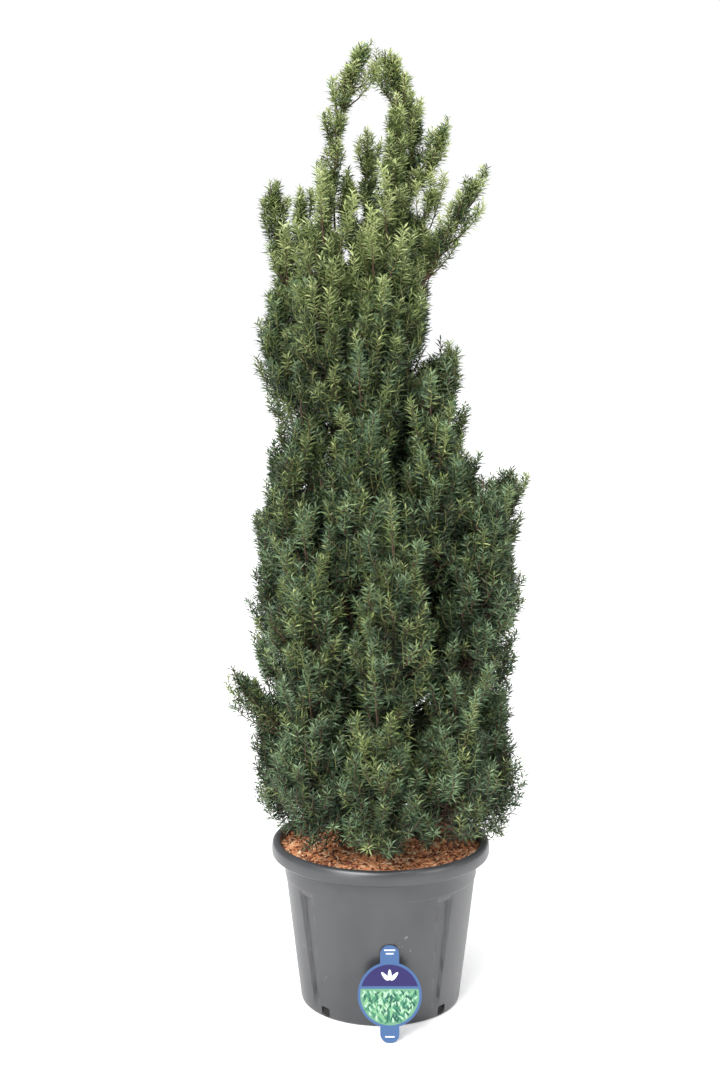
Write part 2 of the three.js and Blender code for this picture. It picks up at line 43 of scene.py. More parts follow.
# Driving dimensions of the pot, its fill and its tag.
POT_HEIGHT = 410
FOOT_RADIUS = 197
FLARE = 0.117
WALL = 4
FLOOR = 6
SEAM = 320
COLLAR_TOP = 370
COLLAR_RADIUS = 241
LIP_RADIUS = 269
LIP_INNER = 248
POT_SEGMENTS = 432
FLUTE_AZIMUTHS = (-139, -51, 41, 131)
FLUTE_DEPTHS = ((30, 0), (52, 6), (296, 9), (315, 0))
FLUTE_HALF_LOW = 8
FLUTE_HALF_HIGH = 26
NOTCH_COUNT = 8
NOTCH_FIRST = -42.5
NOTCH_WIDTH = 26
NOTCH_LOW = 4
NOTCH_HIGH = 29
MULCH_EDGE = 389
MULCH_MIDDLE = 396
MULCH_RADIUS = 243
SOIL_RELIEF = 3.2
CHIP_COUNT = 7600
CHIP_SEED = 77

TAG_X = 19
TAG_RADIUS = 75.5
TAG_TAB = 45
TAG_CORNER = 21
TAG_TOP = 38.6
TAG_FOOT = 34.5
TAG_THICK = 1.2
TAG_LEAN = 16.5
PRINT_THICK = 0.12
LEAF_SEED = 31

# The leader, the boughs and the plumes of needles.
TRUNK_THROUGH = [
    (0, 0, 396.3), (0, 0, 470), (7, 6, 900), (10, 2, 1350), (14, 0, 1650), (20, -2, 1900), (42, -5, 2035),
]
TRUNK_FOOT = 21
TRUNK_TIP = 4.5
TRUNK_FLARE = 15
TRUNK_FLARE_HEIGHT = 34

BOUGHS = {
    "left_leader": dict(root=610, bend=(-150, -10, 1180), tip=(-110, 0, 1885), foot=13, end=6),
    "left_stem": dict(root=930, bend=(-110, 60, 1300), tip=(-165, 52, 1690), foot=11, end=5.5),
    "right_long": dict(root=1290, bend=(50, -45, 1480), tip=(84, -20, 1745), foot=8, end=5),
    "right_shoulder": dict(root=690, bend=(90, -25, 850), tip=(118, -12, 1110), foot=11, end=6),
    "right_plume": dict(root=520, bend=(170, -10, 600), tip=(214, -8, 860), foot=10, end=6),
}

TIERS = [
    dict(name="skirt", count=8, first=0, middle=(4, 0), root=424, climb=4,
         elbow=(304, 412), tip=(252, 790), lifts=(0, 0, -10, 12, 0, 0, 0, 0),
         girth=112, bare=0.28, seed=100),
    dict(name="low", count=7, first=-95, middle=(8, 0), root=640, climb=12,
         elbow=(292, 720), tip=(258, 1150), lifts=(110, 0, 0, 175, 140, 0, 20),
         girth=114, bare=0.3, seed=200),
    dict(name="middle", count=7, first=-116, skip=3, middle=(-16, 0),
         bough=dict(root=780, tip=(88, 1040), foot=9, end=6), climb=28,
         elbow=(250, 1040), tip=(180, 1500), lifts=(0, 0, 0, 0, -13, 0, 0),
         girth=100, bare=0.12, seed=300),
    dict(name="high", count=5, first=-90, middle=(-90, 0), root=1350, climb=22,
         elbow=(190, 1390), tip=(124, 1870), lifts=(-80, 0, 0, 0, 0),
         girth=96, bare=0.3, seed=400),
]

PLUMES = [
    dict(name="shoulder", on="right_shoulder", elbow=(168, -5, 1240), tip=(140, 0, 1632), girth=80),
    dict(name="right_plume", on="right_plume", elbow=(262, -5, 980), tip=(314, 0, 1325), girth=66),
    dict(name="front_right", root=980, elbow=(150, -200, 1030), tip=(112, -128, 1480), girth=90, bare=0.3),
    dict(name="front_high", root=1290, elbow=(-22, -220, 1370), tip=(-18, -120, 1800), girth=80, bare=0.3),
    dict(name="left_spike", root=540, elbow=(-244, -70, 640), tip=(-358, -84, 852), girth=46, bare=0.4),
    dict(name="left_cluster", on="left_stem", elbow=(-250, 20, 1760), tip=(-262, 0, 2000), girth=50),
    dict(name="left_inner", root=1590, elbow=(-180, -30, 1700), tip=(-192, -10, 1985), girth=50, bare=0.3),
    dict(name="left_front", root=1560, elbow=(-130, -70, 1720), tip=(-132, -44, 2024), girth=50, bare=0.3),
    dict(name="arch_left", on="left_leader", elbow=(-128, 6, 2190), tip=(-22, 2, 2322), girth=40),
    dict(name="arch_right", root=2030, elbow=(66, 0, 2190), tip=(2, 0, 2296), girth=46),
    dict(name="right_twin", root=1930, elbow=(112, 0, 1990), tip=(154, 0, 2146), girth=34),
    dict(name="right_long", on="right_long", elbow=(160, -25, 1860), tip=(246, -20, 2032), girth=42),
    dict(name="right_small", root=1800, elbow=(88, -20, 1870), tip=(126, -15, 1982), girth=34),
    dict(name="leader_right", root=1580, elbow=(110, 20, 1650), tip=(84, 10, 1915), girth=56),
    dict(name="inner_left", root=1640, elbow=(-85, -40, 1760), tip=(-78, -20, 2032), girth=48),
    dict(name="inner_right", root=1720, elbow=(-44, 10, 1800), tip=(-34, -5, 2120), girth=50),
    dict(name="collar_front", root=1790, elbow=(30, -66, 1930), tip=(34, -34, 2196), girth=46),
    dict(name="collar_back", root=1760, elbow=(60, 70, 1890), tip=(84, 36, 2190), girth=48),
]
PLUME_SEED = 500
PLUME_BARE = 0.1
FEWEST_BANDS = 3
LOWEST = 0.02
HIGHEST = 0.9
WANDER_TURN = 5
WANDER_RISE = 26
WANDER_GIRTH = 0.08
YOUNG_ABOVE = 1900
FINER_SEED = 7919

# The kinds of plume, each with the source's values for its whorls of twigs: pairs of twigs to a whorl,
# the way between whorls, and a twig's lean at the plume's foot and tip and its least and greatest reach.
# The finer growth adds how far short of its reach a twig ends, how far back it leaves the stem and the
# sets of whorls. Shoots on a twig, and on an upright one, are told by where it turns leafy, their places
# on it and their least and greatest length. Last come how far out a shoot may end, how many uprights
# stand at a tip, and the stem's radius at its foot.
DENSE = dict(
    sides=5, band=80, lean=(78, 34), reach=(0.84, 1.08), short=9, back=0.25, sets=(0, 1),
    side_shoots=(0.5, (0.36, 0.5, 0.62, 0.74, 0.86), (40, 92)),
    upright_shoots=(0.3, (0.36, 0.46, 0.56, 0.66, 0.76, 0.86), (24, 42)),
    furthest=1.06, uprights=3, stem=6.0,
)
SLENDER = dict(
    DENSE, sides=4, band=64, reach=(0.4, 1.15), short=12,
    side_shoots=(0.2, (0.4, 0.65, 0.88), (26, 50)), furthest=1.4, uprights=1, stem=3.2,
)
OPEN = dict(
    SLENDER, lean=(52, 28), back=0.9, sets=(0,), side_shoots=(0.15, (0.4, 0.7), (24, 40)),
    upright_shoots=(0.3, (0.38, 0.52, 0.66, 0.8), (24, 42)),
)
DENSE_GIRTH = 51
# The plumes that the photo shows as a few shoots with sky between them.
OPEN_PLUMES = ("arch_left", "arch_right", "right_twin", "right_long", "left_spike")

# The tips that stand out of the outline, each on its plume, as (x, z).
SPIRES = {
    "arch_left": [(-42, 2313), (-82, 2268), (-116, 2244), (-134, 2164), (-139, 2056), (-6, 2268), (2, 2294)],
    "arch_right": [(3, 2287), (31, 2291), (53, 2253), (68, 2214), (91, 2190), (-26, 2270), (-14, 2262)],
    "left_cluster": [(-246, 2007), (-280, 1968), (-282, 1931), (-222, 1968)],
    "left_inner": [(-192, 1978), (-160, 1986)],
    "inner_left": [(-79, 2030)],
    "inner_right": [(-32, 2121), (-55, 2103), (-6, 2092)],
    "right_twin": [(155, 2144), (156, 2101), (116, 2124)],
    "right_small": [(116, 2032), (128, 1980)],
    "right_long": [
        (246, 2030), (206, 2010), (239, 1954), (180, 1982), (163, 1954), (143, 1917), (117, 1885),
        (131, 1824), (178, 1874), (206, 1930),
    ],
    "shoulder": [(97, 1585), (119, 1595), (161, 1629), (182, 1613), (182, 1554), (208, 1478)],
    "right_plume": [(264, 1306), (289, 1322), (314, 1300), (349, 1311), (338, 1220)],
    "left_spike": [(-371, 816), (-352, 846), (-326, 830), (-304, 824), (-366, 770), (-338, 780)],
}
# More tips along the crown's two edges, each on the nearest plume.
EDGE_TIPS = [
    (-266, 1861), (-249, 1777), (-268, 1749), (-293, 1680), (-286, 1640), (-297, 1580), (-276, 1500),
    (-252, 1420), (-258, 1392), (-268, 1370), (-262, 1330), (-279, 1290), (-308, 1213), (-298, 1150),
    (-310, 1070), (-326, 1005), (-314, 925), (-317, 655), (-309, 600), (-308, 545), (-303, 510),
    (-259, 471), (235, 1365), (243, 1300), (346, 1068), (346, 1016), (330, 930), (326, 870),
    (318, 797), (320, 740), (318, 680), (330, 648), (346, 596), (356, 553), (340, 500), (322, 476),
    (298, 424),
]
# Each tip's upright twig leaves its plume this far below it, and may pass the outline by so much. Where
# more of them stand at a tip, each is lower than the last and somewhere in front of it or behind it.
SPIRE_DROP = 105
SPIRE_PAST = 24
NEXT_DROP = 24
NEXT_DEPTH = 34
CREST_COUNT = 16
CREST_LENGTHS = (100, 190)
# How far shoots keep within the outline, and how much nearer to another plume than to its own the tip
# and the bend of one may come.
SHOOT_MARGIN = 12
TIP_SLACK = 0.08
BEND_SLACK = 0.2
# Of the shoots that end within this share of a dense plume's reach from its axis, such a share is kept.
HIDDEN_DEPTH = 0.5
HIDDEN_SHARE = 0.45
# The dark shoots round the leader, in the two darkest tones as painted shade: how many, at which heights, and
# how they stand on their twigs.
INNER_COUNT = 950
INNER_HEIGHTS = ((430, 900), (430, 900), (700, 1760), (700, 1760), (1240, 1460))
INNER_SHOOTS = (0.35, (0.4, 0.6, 0.8), (40, 80))
INNER_SPACING = 3.2
INNER_SEED = 61
# The crown's foot: how far shoots keep off the limbs, over the fill and over the lip, and how it rises
# away from the leader, to the left, to the right and with the distance all round.
LIMB_GAP = 2
FILL_GAP = 8
LIP_GAP = 14
RISE_LEFT = 1.1
RISE_RIGHT = 0.7
RISE_FROM = 90
RISE_MOST = 80
RISE_ROUND = 0.45
RISE_ROUND_FROM = 140

# The crown's outline as the front view shows it: height, left edge and right edge.
OUTLINE = [
    (400, -250, 292), (470, -236, 290), (500, -294, 332), (540, -308, 349), (620, -303, 337),
    (660, -306, 316), (700, -319, 317), (740, -345, 318), (800, -365, 312), (830, -374, 302),
    (860, -300, 322), (900, -312, 324), (960, -302, 334), (1020, -310, 350), (1060, -312, 344),
    (1100, -294, 327), (1150, -302, 320), (1180, -309, 308), (1220, -306, 328), (1260, -276, 342),
    (1310, -270, 351), (1340, -260, 236), (1380, -248, 208), (1460, -220, 204), (1500, -274, 172),
    (1580, -293, 172), (1625, -284, 160), (1640, -284, 122), (1700, -270, 108), (1740, -270, 122),
    (1780, -252, 110), (1820, -258, 130), (1860, -268, 172), (1900, -270, 192), (1940, -281, 230),
    (2000, -278, 246), (2050, -145, 246),
]
# Where the front view shows sky between the stems: the middle and half sizes of each gap.
GAPS = [
    ((128, 1626), (20, 18)), ((104, 1604), (12, 14)), ((82, 1570), (9, 18)), ((128, 1925), (22, 28)),
    ((-28, 2140), (27, 46)), ((-27, 2200), (13, 36)), ((-62, 2090), (18, 72)), ((86, 1950), (10, 24)),
    ((-214, 1965), (8, 40)), ((-174, 1960), (6, 40)), ((-160, 1800), (5, 14)),
    ((-111, 1910), (3, 16)), ((-83, 1832), (6, 12)), ((-52, 1930), (5, 18)), ((-185, 1300), (3, 24)),
    ((242, 1318), (14, 28)), ((126, 1700), (12, 12)),
]
# The front view's camera: its place, its tilt up from straight down, and its lens in millimetres.
CAMERA_PLACE = np.array((-51.0, -4046.0, 1720.0))
CAMERA_TILT = 82
CAMERA_LENS = 56.33

# Shoots and needles, finer than the source's sprays.
NEEDLE_LENGTH = 23
NEEDLE_HALF_WIDTH = 1.8
NEEDLE_SPACING = 2.6
NEEDLE_ROLL = 0.55
YOUNG_SPACING = 0.72
YOUNG_LENGTH = 0.88
UPWARD = 0.8
SHOOT_RADII = (1.0, 0.8, 0.4)
TWIG_RADII = (2.2, 1.6, 0.8)
STEM_SEED = 20
YOUNG_STEMS = (1100, 800)
# Tones from deep to pale, in a cool and a warm family, as places in NEEDLES.
COOL = np.array((0, 1, 2, 3, 4))
WARM = np.array((0, 5, 6, 7, 8))
# By height: the middle tone, and the share of shoots that are of the warm family.
MIDDLE_TONES = {400: 1.9, 600: 1.6, 900: 1.5, 1300: 1.4, 1700: 1.6, 2000: 2.7, 2200: 3.3}
WARM_SHARES = {400: 0.38, 1300: 0.48, 1700: 0.75, 2000: 1.05}
TONE_SPREAD = 1.2
# Painted shade and light in a dense plume: a shoot is so many tones darker over its whole depth from the
# reach's end in to the axis, and neither darker nor paler at this depth.
PAINTED_SHADE_BY_DEPTH = 3.2
PAINTED_SHADE_NEUTRAL_DEPTH = 0.75
UPRIGHT_LIFT = 0.6
# The palest tone is for needles about this high or higher, and for a share of the others.
PALE_ABOVE = 1780
PALE_SPREAD = 120
PALE_SHARE = 0.16
MOST_TRIANGLES = 180000


def lerp(low, high, share):
    return low + (high - low) * share


# The source's seeded stream of numbers from 0 to 1.
def numbers_from(seed):
    mask = 0xFFFFFFFF
    state = seed & mask

    def number():
        nonlocal state
        state = (state + 0x6D2B79F5) & mask
        mixed = ((state ^ (state >> 15)) * (1 | state)) & mask
        mixed = ((mixed + (mixed ^ (mixed >> 7)) * (61 | mixed)) & mask) ^ mixed
        return (mixed ^ (mixed >> 14)) / 4294967296

    return number


def unit(vectors):
    return vectors / np.maximum(np.linalg.norm(vectors, axis=-1, keepdims=True), 1e-9)


def around(azimuth, distance, height, middle=(0, 0)):
    angle = math.radians(azimuth)
    return np.array([
        middle[0] + distance * math.sin(angle),
        middle[1] - distance * math.cos(angle),
        height,
    ])


# A quadratic curve through three points: its places and headings at shares of its length.
def along_curve(curve, share):
    share = np.asarray(share, float)[..., None]
    start, bend, end = curve
    return (1 - share) ** 2 * start + 2 * share * (1 - share) * bend + share ** 2 * end


def heading_on(curve, share):
    share = np.asarray(share, float)[..., None]
    start, bend, end = curve
    return unit((1 - share) * (bend - start) + share * (end - bend))


def length_of(curve):
    points = along_curve(curve, np.linspace(0, 1, 201))
    return float(np.linalg.norm(np.diff(points, axis=0), axis=1).sum())


# The level direction square to a heading, and the one over it.
def square_to(heading):
    aside = np.stack([-heading[..., 1], heading[..., 0], np.zeros_like(heading[..., 0])], -1)
    upright = np.sum(aside ** 2, -1) < 1e-6
    aside[upright] = (1, 0, 0)
    aside = unit(aside)
    return aside, np.cross(heading, aside)


def trunk_point(share):
    points = [np.array(point, float) for point in TRUNK_THROUGH]
    place = (len(points) - 1) * share
    index = min(int(place), len(points) - 2)
    weight = place - index
    p1, p2 = points[index], points[index + 1]
    p0 = points[index - 1] if index > 0 else 2 * p1 - p2
    p3 = points[index + 2] if index + 2 < len(points) else 2 * p2 - p1
    d0, d1, d2 = (math.sqrt(np.linalg.norm(b - a)) for a, b in ((p0, p1), (p1, p2), (p2, p3)))
    t1 = d1 * ((p1 - p0) / d0 - (p2 - p0) / (d0 + d1) + (p2 - p1) / d1)
    t2 = d1 * ((p2 - p1) / d1 - (p3 - p1) / (d1 + d2) + (p3 - p2) / d2)
    c2 = 3 * (p2 - p1) - 2 * t1 - t2
    c3 = 2 * (p1 - p2) + t1 + t2
    return p1 + weight * (t1 + weight * (c2 + weight * c3))


def trunk_radius(share):
    height = trunk_point(share)[2] - MULCH_MIDDLE
    flare = TRUNK_FLARE * math.exp(-height / TRUNK_FLARE_HEIGHT)
    return lerp(TRUNK_FOOT, TRUNK_TIP, share ** 0.9) + flare


def on_trunk(height):
    low, high = 0.0, 1.0
    for _ in range(30):
        middle = (low + high) / 2
        if trunk_point(middle)[2] < height:
            low = middle
        else:
            high = middle
    return trunk_point(low)


def fullness(share):
    return np.sin(np.pi * np.clip(share, 0, 1) ** 0.8) ** 0.55


# The plan of the crown: each limb with its stations and radii, and each plume with its own space.
def plan_boughs_and_plumes():
    boughs, plumes = [], []

    def add_bough(name, root, bend, tip, foot, end):
        boughs.append(dict(name="bough_" + name, curve=(on_trunk(root), np.array(bend, float),
                                                        np.array(tip, float)), foot=foot, end=end))

    def add_plume(name, foot, elbow, tip, girth, bare, seed):
        axis = (np.array(foot, float), np.array(elbow, float), np.array(tip, float))
        kind = OPEN if name in OPEN_PLUMES else DENSE if girth > DENSE_GIRTH else SLENDER
        leafy = length_of(axis) * (1 - bare)
        bands = max(FEWEST_BANDS, int(leafy / kind["band"] + 0.5))
        whorls = [lerp(LOWEST, HIGHEST, r / bands) for r in range(bands + 1)]
        stations = np.linspace(0, 1, 21)
        plumes.append(dict(
            kind, name="mass_" + name, axis=axis, girth=girth, bare=bare, seed=seed, leafy=leafy,
            whorls=whorls, dense=kind is DENSE, young=axis[2][2] > YOUNG_ABOVE,
            points=along_curve(axis, lerp(bare, 1, stations)),
            reaches=np.maximum(girth * fullness(stations), 0.25 * girth),
        ))

    for name, plan in BOUGHS.items():
        add_bough(name, **plan)
    for tier in TIERS:
        for k in range(tier["count"]):
            if k == tier.get("skip"):
                continue
            random = numbers_from(tier["seed"] + k)
            azimuth = tier["first"] + 360 / tier["count"] * k + WANDER_TURN * (2 * random() - 1)
            rise = tier["lifts"][k] + WANDER_RISE * (2 * random() - 1)
            girth = tier["girth"] * (1 + WANDER_GIRTH * (2 * random() - 1))
            elbow = around(azimuth, *tier["elbow"], tier["middle"])
            tip = around(azimuth, tier["tip"][0], tier["tip"][1] + rise, tier["middle"])
            climb = tier["climb"] * ((3 * k) % tier["count"])
            name = f"{tier['name']}_{k + 1}"
            if "bough" in tier:
                plan = tier["bough"]
                root = plan["root"] + climb
                foot = around(azimuth, *plan["tip"], tier["middle"])
                turn_up = lerp(root, plan["tip"][1], 0.35)
                bend = around(azimuth, plan["tip"][0] * 0.8, turn_up, tier["middle"])
                add_bough(name, root, bend, foot, plan["foot"], plan["end"])
            else:
                foot = on_trunk(tier["root"] + climb)
            add_plume(name, foot, elbow, tip, girth, tier["bare"], tier["seed"] + k)
    for k, plan in enumerate(PLUMES):
        foot = BOUGHS[plan["on"]]["tip"] if "on" in plan else on_trunk(plan["root"])
        add_plume(plan["name"], foot, plan["elbow"], plan["tip"], plan["girth"],
                  plan.get("bare", PLUME_BARE), PLUME_SEED + k)
    return boughs, plumes


boughs, plumes = plan_boughs_and_plumes()


# How deep points lie in a plume's space: 0 on its axis and 1 at its needles' reach.
def depth_in(plume, points):
    gaps = np.linalg.norm(points[:, None] - plume["points"][None], axis=2)
    return (gaps / plume["reaches"]).min(axis=1)


limb_stations = [(trunk_point(share), trunk_radius(share)) for share in np.linspace(0, 1, 90)]
for bough in boughs:
    for share in np.linspace(0, 1, 24):
        limb_stations.append((along_curve(bough["curve"], share), lerp(bough["foot"], bough["end"], share)))
limb_points = np.array([point for point, _ in limb_stations])
limb_radii = np.array([radius for _, radius in limb_stations])


# Which points the front view shows within the crown's outline and off its gaps, by a margin that
# wavers with the height. Above the outline's last row every point is within it.
def within_outline(points, off=SHOOT_MARGIN, wave=9):
    away = -CAMERA_PLACE[1] / (points[:, 1] - CAMERA_PLACE[1])
    seen = CAMERA_PLACE + (points - CAMERA_PLACE) * away[:, None]
    margin = off + wave * np.sin(seen[:, 2] / 17 + 3 * np.sin(seen[:, 2] / 41))
    heights, left, right = (np.array(column, float) for column in zip(*OUTLINE))
    inside = seen[:, 0] > np.interp(seen[:, 2], heights, left) + margin
    inside &= seen[:, 0] < np.interp(seen[:, 2], heights, right) - margin
    inside |= seen[:, 2] > heights[-1]
    for (x, z), (wide, high) in GAPS:
        wide = np.maximum(wide + 0.7 * off, 2)
        high = np.maximum(high + 0.7 * off, 2)
        inside &= ((seen[:, 0] - x) / wide) ** 2 + ((seen[:, 2] - z) / high) ** 2 > 1
    return inside


# Which points are off the limbs, and above the fill and the pot's lip.
def clear_of_limbs_and_pot(points):
    gaps = np.linalg.norm(points[:, None] - limb_points[None], axis=2) - limb_radii
    radius = np.hypot(points[:, 0], points[:, 1])
    steep = np.where(points[:, 0] < 0, RISE_LEFT, RISE_RIGHT)
    rise = np.clip(steep * (np.abs(points[:, 0]) - RISE_FROM), 0, RISE_MOST)
    over_fill = MULCH_MIDDLE + FILL_GAP + RISE_ROUND * np.maximum(radius - RISE_ROUND_FROM, 0) + rise
    floor = np.where(radius < LIP_INNER - FILL_GAP, over_fill, POT_HEIGHT + LIP_GAP)
    floor = np.where(radius > LIP_RADIUS + LIP_GAP, MULCH_MIDDLE, floor)
    return (gaps.min(axis=1) > LIMB_GAP) & (points[:, 2] > floor)


# Which points keep to a plume's own space as well.
def kept(plume, points, slack, furthest):
    own = depth_in(plume, points)
    keep = clear_of_limbs_and_pot(points) & within_outline(points) & (own < furthest)
    for other in plumes:
        if other is not plume:
            keep &= depth_in(other, points) > own - slack
    return keep


# The part of a three-point curve from one share of it to another.
def part_of(curves, low, high):
    starts, bends, tips = curves
    mixed = (1 - low) * (1 - high) * starts + (low + high - 2 * low * high) * bends + low * high * tips
    return along_curve(curves, low), mixed, along_curve(curves, high)


def joined(curves):
    return tuple(np.concatenate([curve[i] for curve in curves]) for i in range(3))


# Gives each tip on the crown's edges to the plume whose axis passes nearest below it.
def share_out_edge_tips():
    shares = np.linspace(0.2, 1, 60)
    for plume in plumes:
        plume["edge_tips"] = []
    for x, z in EDGE_TIPS:
        target = np.array((x * 0.8, 0, z - SPIRE_DROP))

        def distance(plume):
            gaps = (along_curve(plume["axis"], lerp(plume["bare"], 1, shares)) - target) * (1, 0.7, 1)
            return np.linalg.norm(gaps, axis=1).min()

        min(plumes, key=distance)["edge_tips"].append((x, z))


# The twigs of a plume: the source's staggered whorls and, but for an open plume, as many finer ones
# between them. Needles add their own reach, so a twig ends short of it.
def twigs_of(plume):
    sides = plume["sides"]
    whorls = plume["whorls"]
    starts, bends, tips = [], [], []
    for finer in plume["sets"]:
        for band in range(len(whorls) - 1):
            for k in range(2 * sides):
                random = numbers_from(plume["seed"] * 1000 + band * 20 + k + FINER_SEED * finer)
                step = (0.67 if k % 2 else 0.33) + finer * (random() - 0.5)
                share = lerp(whorls[band], whorls[band + 1], step)
                turn = (k + 1 + band + 0.5 * finer) * math.pi / sides + 0.35 * (random() - 0.5)
                lean = math.radians(lerp(*plume["lean"], share) + 12 * (random() - 0.5))
                along = lerp(plume["bare"], 1, share)
                ahead = heading_on(plume["axis"], along)
                aside, over = square_to(ahead[None])
                out = aside[0] * math.cos(turn) + over[0] * math.sin(turn)
                reach = plume["girth"] * float(fullness(share)) * lerp(*plume["reach"], random())
                reach = max(reach * (1 - 0.15 * finer) - plume["short"], 8)
                rise = min(reach / math.tan(lean), (1 - share) * plume["leafy"])
                foot = along_curve(plume["axis"], along)
                back = plume["back"] * rise / plume["leafy"]
                start = along_curve(plume["axis"], max(plume["bare"], along - back))
                starts.append(start)
                tips.append(foot + out * reach + ahead * rise)
                bends.append(start + out * reach * 0.62 + ahead * rise * 0.2)
    return np.array(starts), np.array(bends), np.array(tips)


# Upright twigs over a plume: a crest on a dense one, and one or three up to each tip that stands out of
# the outline. Gives with them how far within the outline each one's shoots keep.
def uprights_of(plume, random):
    starts, bends, tips, margins = [], [], [], []
    spires = SPIRES.get(plume["name"].replace("mass_", ""), ())
    if plume["dense"] and not spires:
        for j in range(CREST_COUNT):
            share = lerp(plume["bare"], 1, lerp(0.2, 0.95, (j + random.uniform()) / CREST_COUNT))
            out = np.array((math.cos(2.4 * j), math.sin(2.4 * j), 0))
            axis_point = along_curve(plume["axis"], share)
            root = axis_point + out * 0.3 * plume["girth"]
            lead = unit(0.3 * heading_on(plume["axis"], share) + 0.42 * out + (0, 0, 0.8))
            length = random.uniform(*CREST_LENGTHS)
            starts.append(axis_point)
            bends.append(root + lead * length * 0.45)
            tips.append(root + unit(lead + (0, 0, 0.4)) * length)
            margins.append(SHOOT_MARGIN)
    shares = np.linspace(plume["bare"], 1, 80)
    axis = along_curve(plume["axis"], shares)
    for x, z in (*spires, *plume["edge_tips"]):
        for j in range(plume["uprights"]):
            low = z - SPIRE_DROP - NEXT_DROP * j
            root = axis[np.argmin(np.abs(axis[:, 2] - low))]
            deep = root[1] + (j > 0) * random.uniform(-NEXT_DEPTH, NEXT_DEPTH)
            tip = np.array((x * (1 - 0.035 * j), deep, z - 0.5 * NEEDLE_LENGTH - NEXT_DROP * j))
            starts.append(root)
            bends.append(root + (tip - root) * (0.7, 1, 0.42))
            tips.append(tip)
            margins.append(-SPIRE_PAST)
    rows = (np.array(column).reshape(-1, 3) for column in (starts, bends, tips))
    return tuple(rows), np.array(margins)


# The leafy shoots on a set of twigs: the end of each twig, and side shoots that turn upwards. A list of
# shoots begins with one for each twig, and goes on with one for each twig at every place.
def shoots_on(twigs, first, places, lengths, random):
    count = len(twigs[0])
    spans = np.linalg.norm(twigs[2] - twigs[0], axis=1)
    curves = [part_of(twigs, first, 1)]
    for j, place in enumerate(places):
        share = np.clip(place + random.uniform(-0.05, 0.05, count), 0, 0.97)
        root = along_curve(twigs, share)
        ahead = heading_on(twigs, share)
        aside, over = square_to(ahead)
        roll = (j % 2) * math.pi + random.normal(0, 0.75, count)
        side = aside * np.cos(roll)[:, None] + over * np.sin(roll)[:, None]
        angle = np.radians(random.uniform(30, 55, count))[:, None]
        lead = unit(ahead * np.cos(angle) + side * np.sin(angle) + (0, 0, UPWARD))
        span = np.clip(spans * (1.1 - share), *lengths) * random.uniform(0.8, 1.15, count)
        tip = root + unit(lead + (0, 0, UPWARD)) * span[:, None]
        curves.append((root, root + lead * (0.5 * span)[:, None], tip))
    return joined(curves)


# All leafy shoots of a plume with their depths and how much paler each is, and the twigs that bear them.
def shoots_of(plume, random):
    twigs = twigs_of(plume)
    shoots = shoots_on(twigs, *plume["side_shoots"], random)
    keep = kept(plume, shoots[2], TIP_SLACK, plume["furthest"])
    keep &= kept(plume, shoots[1], BEND_SLACK, SLENDER["furthest"])
    if plume["dense"]:
        seen = depth_in(plume, shoots[2]) > HIDDEN_DEPTH
        keep &= seen | (random.uniform(0, 1, len(keep)) < HIDDEN_SHARE)
    ends = keep.reshape(-1, len(twigs[0]))
    cut = part_of(twigs, 0, 0.5)
    twigs = tuple(np.where(ends[0][:, None], whole, short) for whole, short in zip(twigs, cut))
    twigs = tuple(points[ends.any(axis=0)] for points in twigs)
    shoots = tuple(points[keep] for points in shoots)

    lifts = np.zeros(len(shoots[0]))
    uprights, margins = uprights_of(plume, random)
    if len(uprights[0]):
        leading = shoots_on(uprights, *plume["upright_shoots"], random)
        margins = np.tile(margins, len(leading[2]) // len(margins))
        keep = clear_of_limbs_and_pot(leading[2]) & within_outline(leading[2], margins, 0)
        for other in plumes:
            if other is not plume:
                keep &= depth_in(other, leading[2]) > 0.3
        shoots = joined((shoots, tuple(points[keep] for points in leading)))
        ends = keep.reshape(-1, len(uprights[0]))[0]
        twigs = joined((twigs, tuple(points[ends] for points in part_of(uprights, 0, 0.7))))
        lifts = np.append(lifts, np.full(keep.sum(), UPRIGHT_LIFT))

    steps = np.linspace(0.3, 1, 7)
    axis = plume["axis"]
    for low, high in zip(steps[:-1], steps[1:]):
        span = part_of(axis, lerp(plume["bare"], 1, low), lerp(plume["bare"], 1, high))
        shoots = joined((shoots, tuple(point[None] for point in span)))
    lifts = np.append(lifts, np.zeros(len(steps) - 1))
    return twigs, shoots, depth_in(plume, shoots[2]), lifts


# Dark shoots round the leader, which close the view through the crown; their darkest tones are painted shade.
def inner_shoots(random):
    starts, bends, tips = [], [], []
    for _ in range(INNER_COUNT):
        low, high = random.choice(INNER_HEIGHTS)
        root = on_trunk(random.uniform(low, high))
        turn = random.uniform(0, 2 * math.pi)
        out = np.array((math.cos(turn), math.sin(turn), 0))
        reach = random.uniform(30, 220) * min(1, (2200 - root[2]) / 1100)
        tip = root + out * reach + (0, 0, random.uniform(60, 150))
        starts.append(root)
        bends.append(root + (tip - root) * (0.7, 0.7, 0.3))
        tips.append(tip)
    twigs = (np.array(starts), np.array(bends), np.array(tips))
    shoots = shoots_on(twigs, *INNER_SHOOTS, random)
    keep = clear_of_limbs_and_pot(shoots[2]) & within_outline(shoots[2])
    leafy = keep.reshape(-1, INNER_COUNT).any(axis=0)
    return tuple(points[leafy] for points in twigs), tuple(points[keep] for points in shoots)


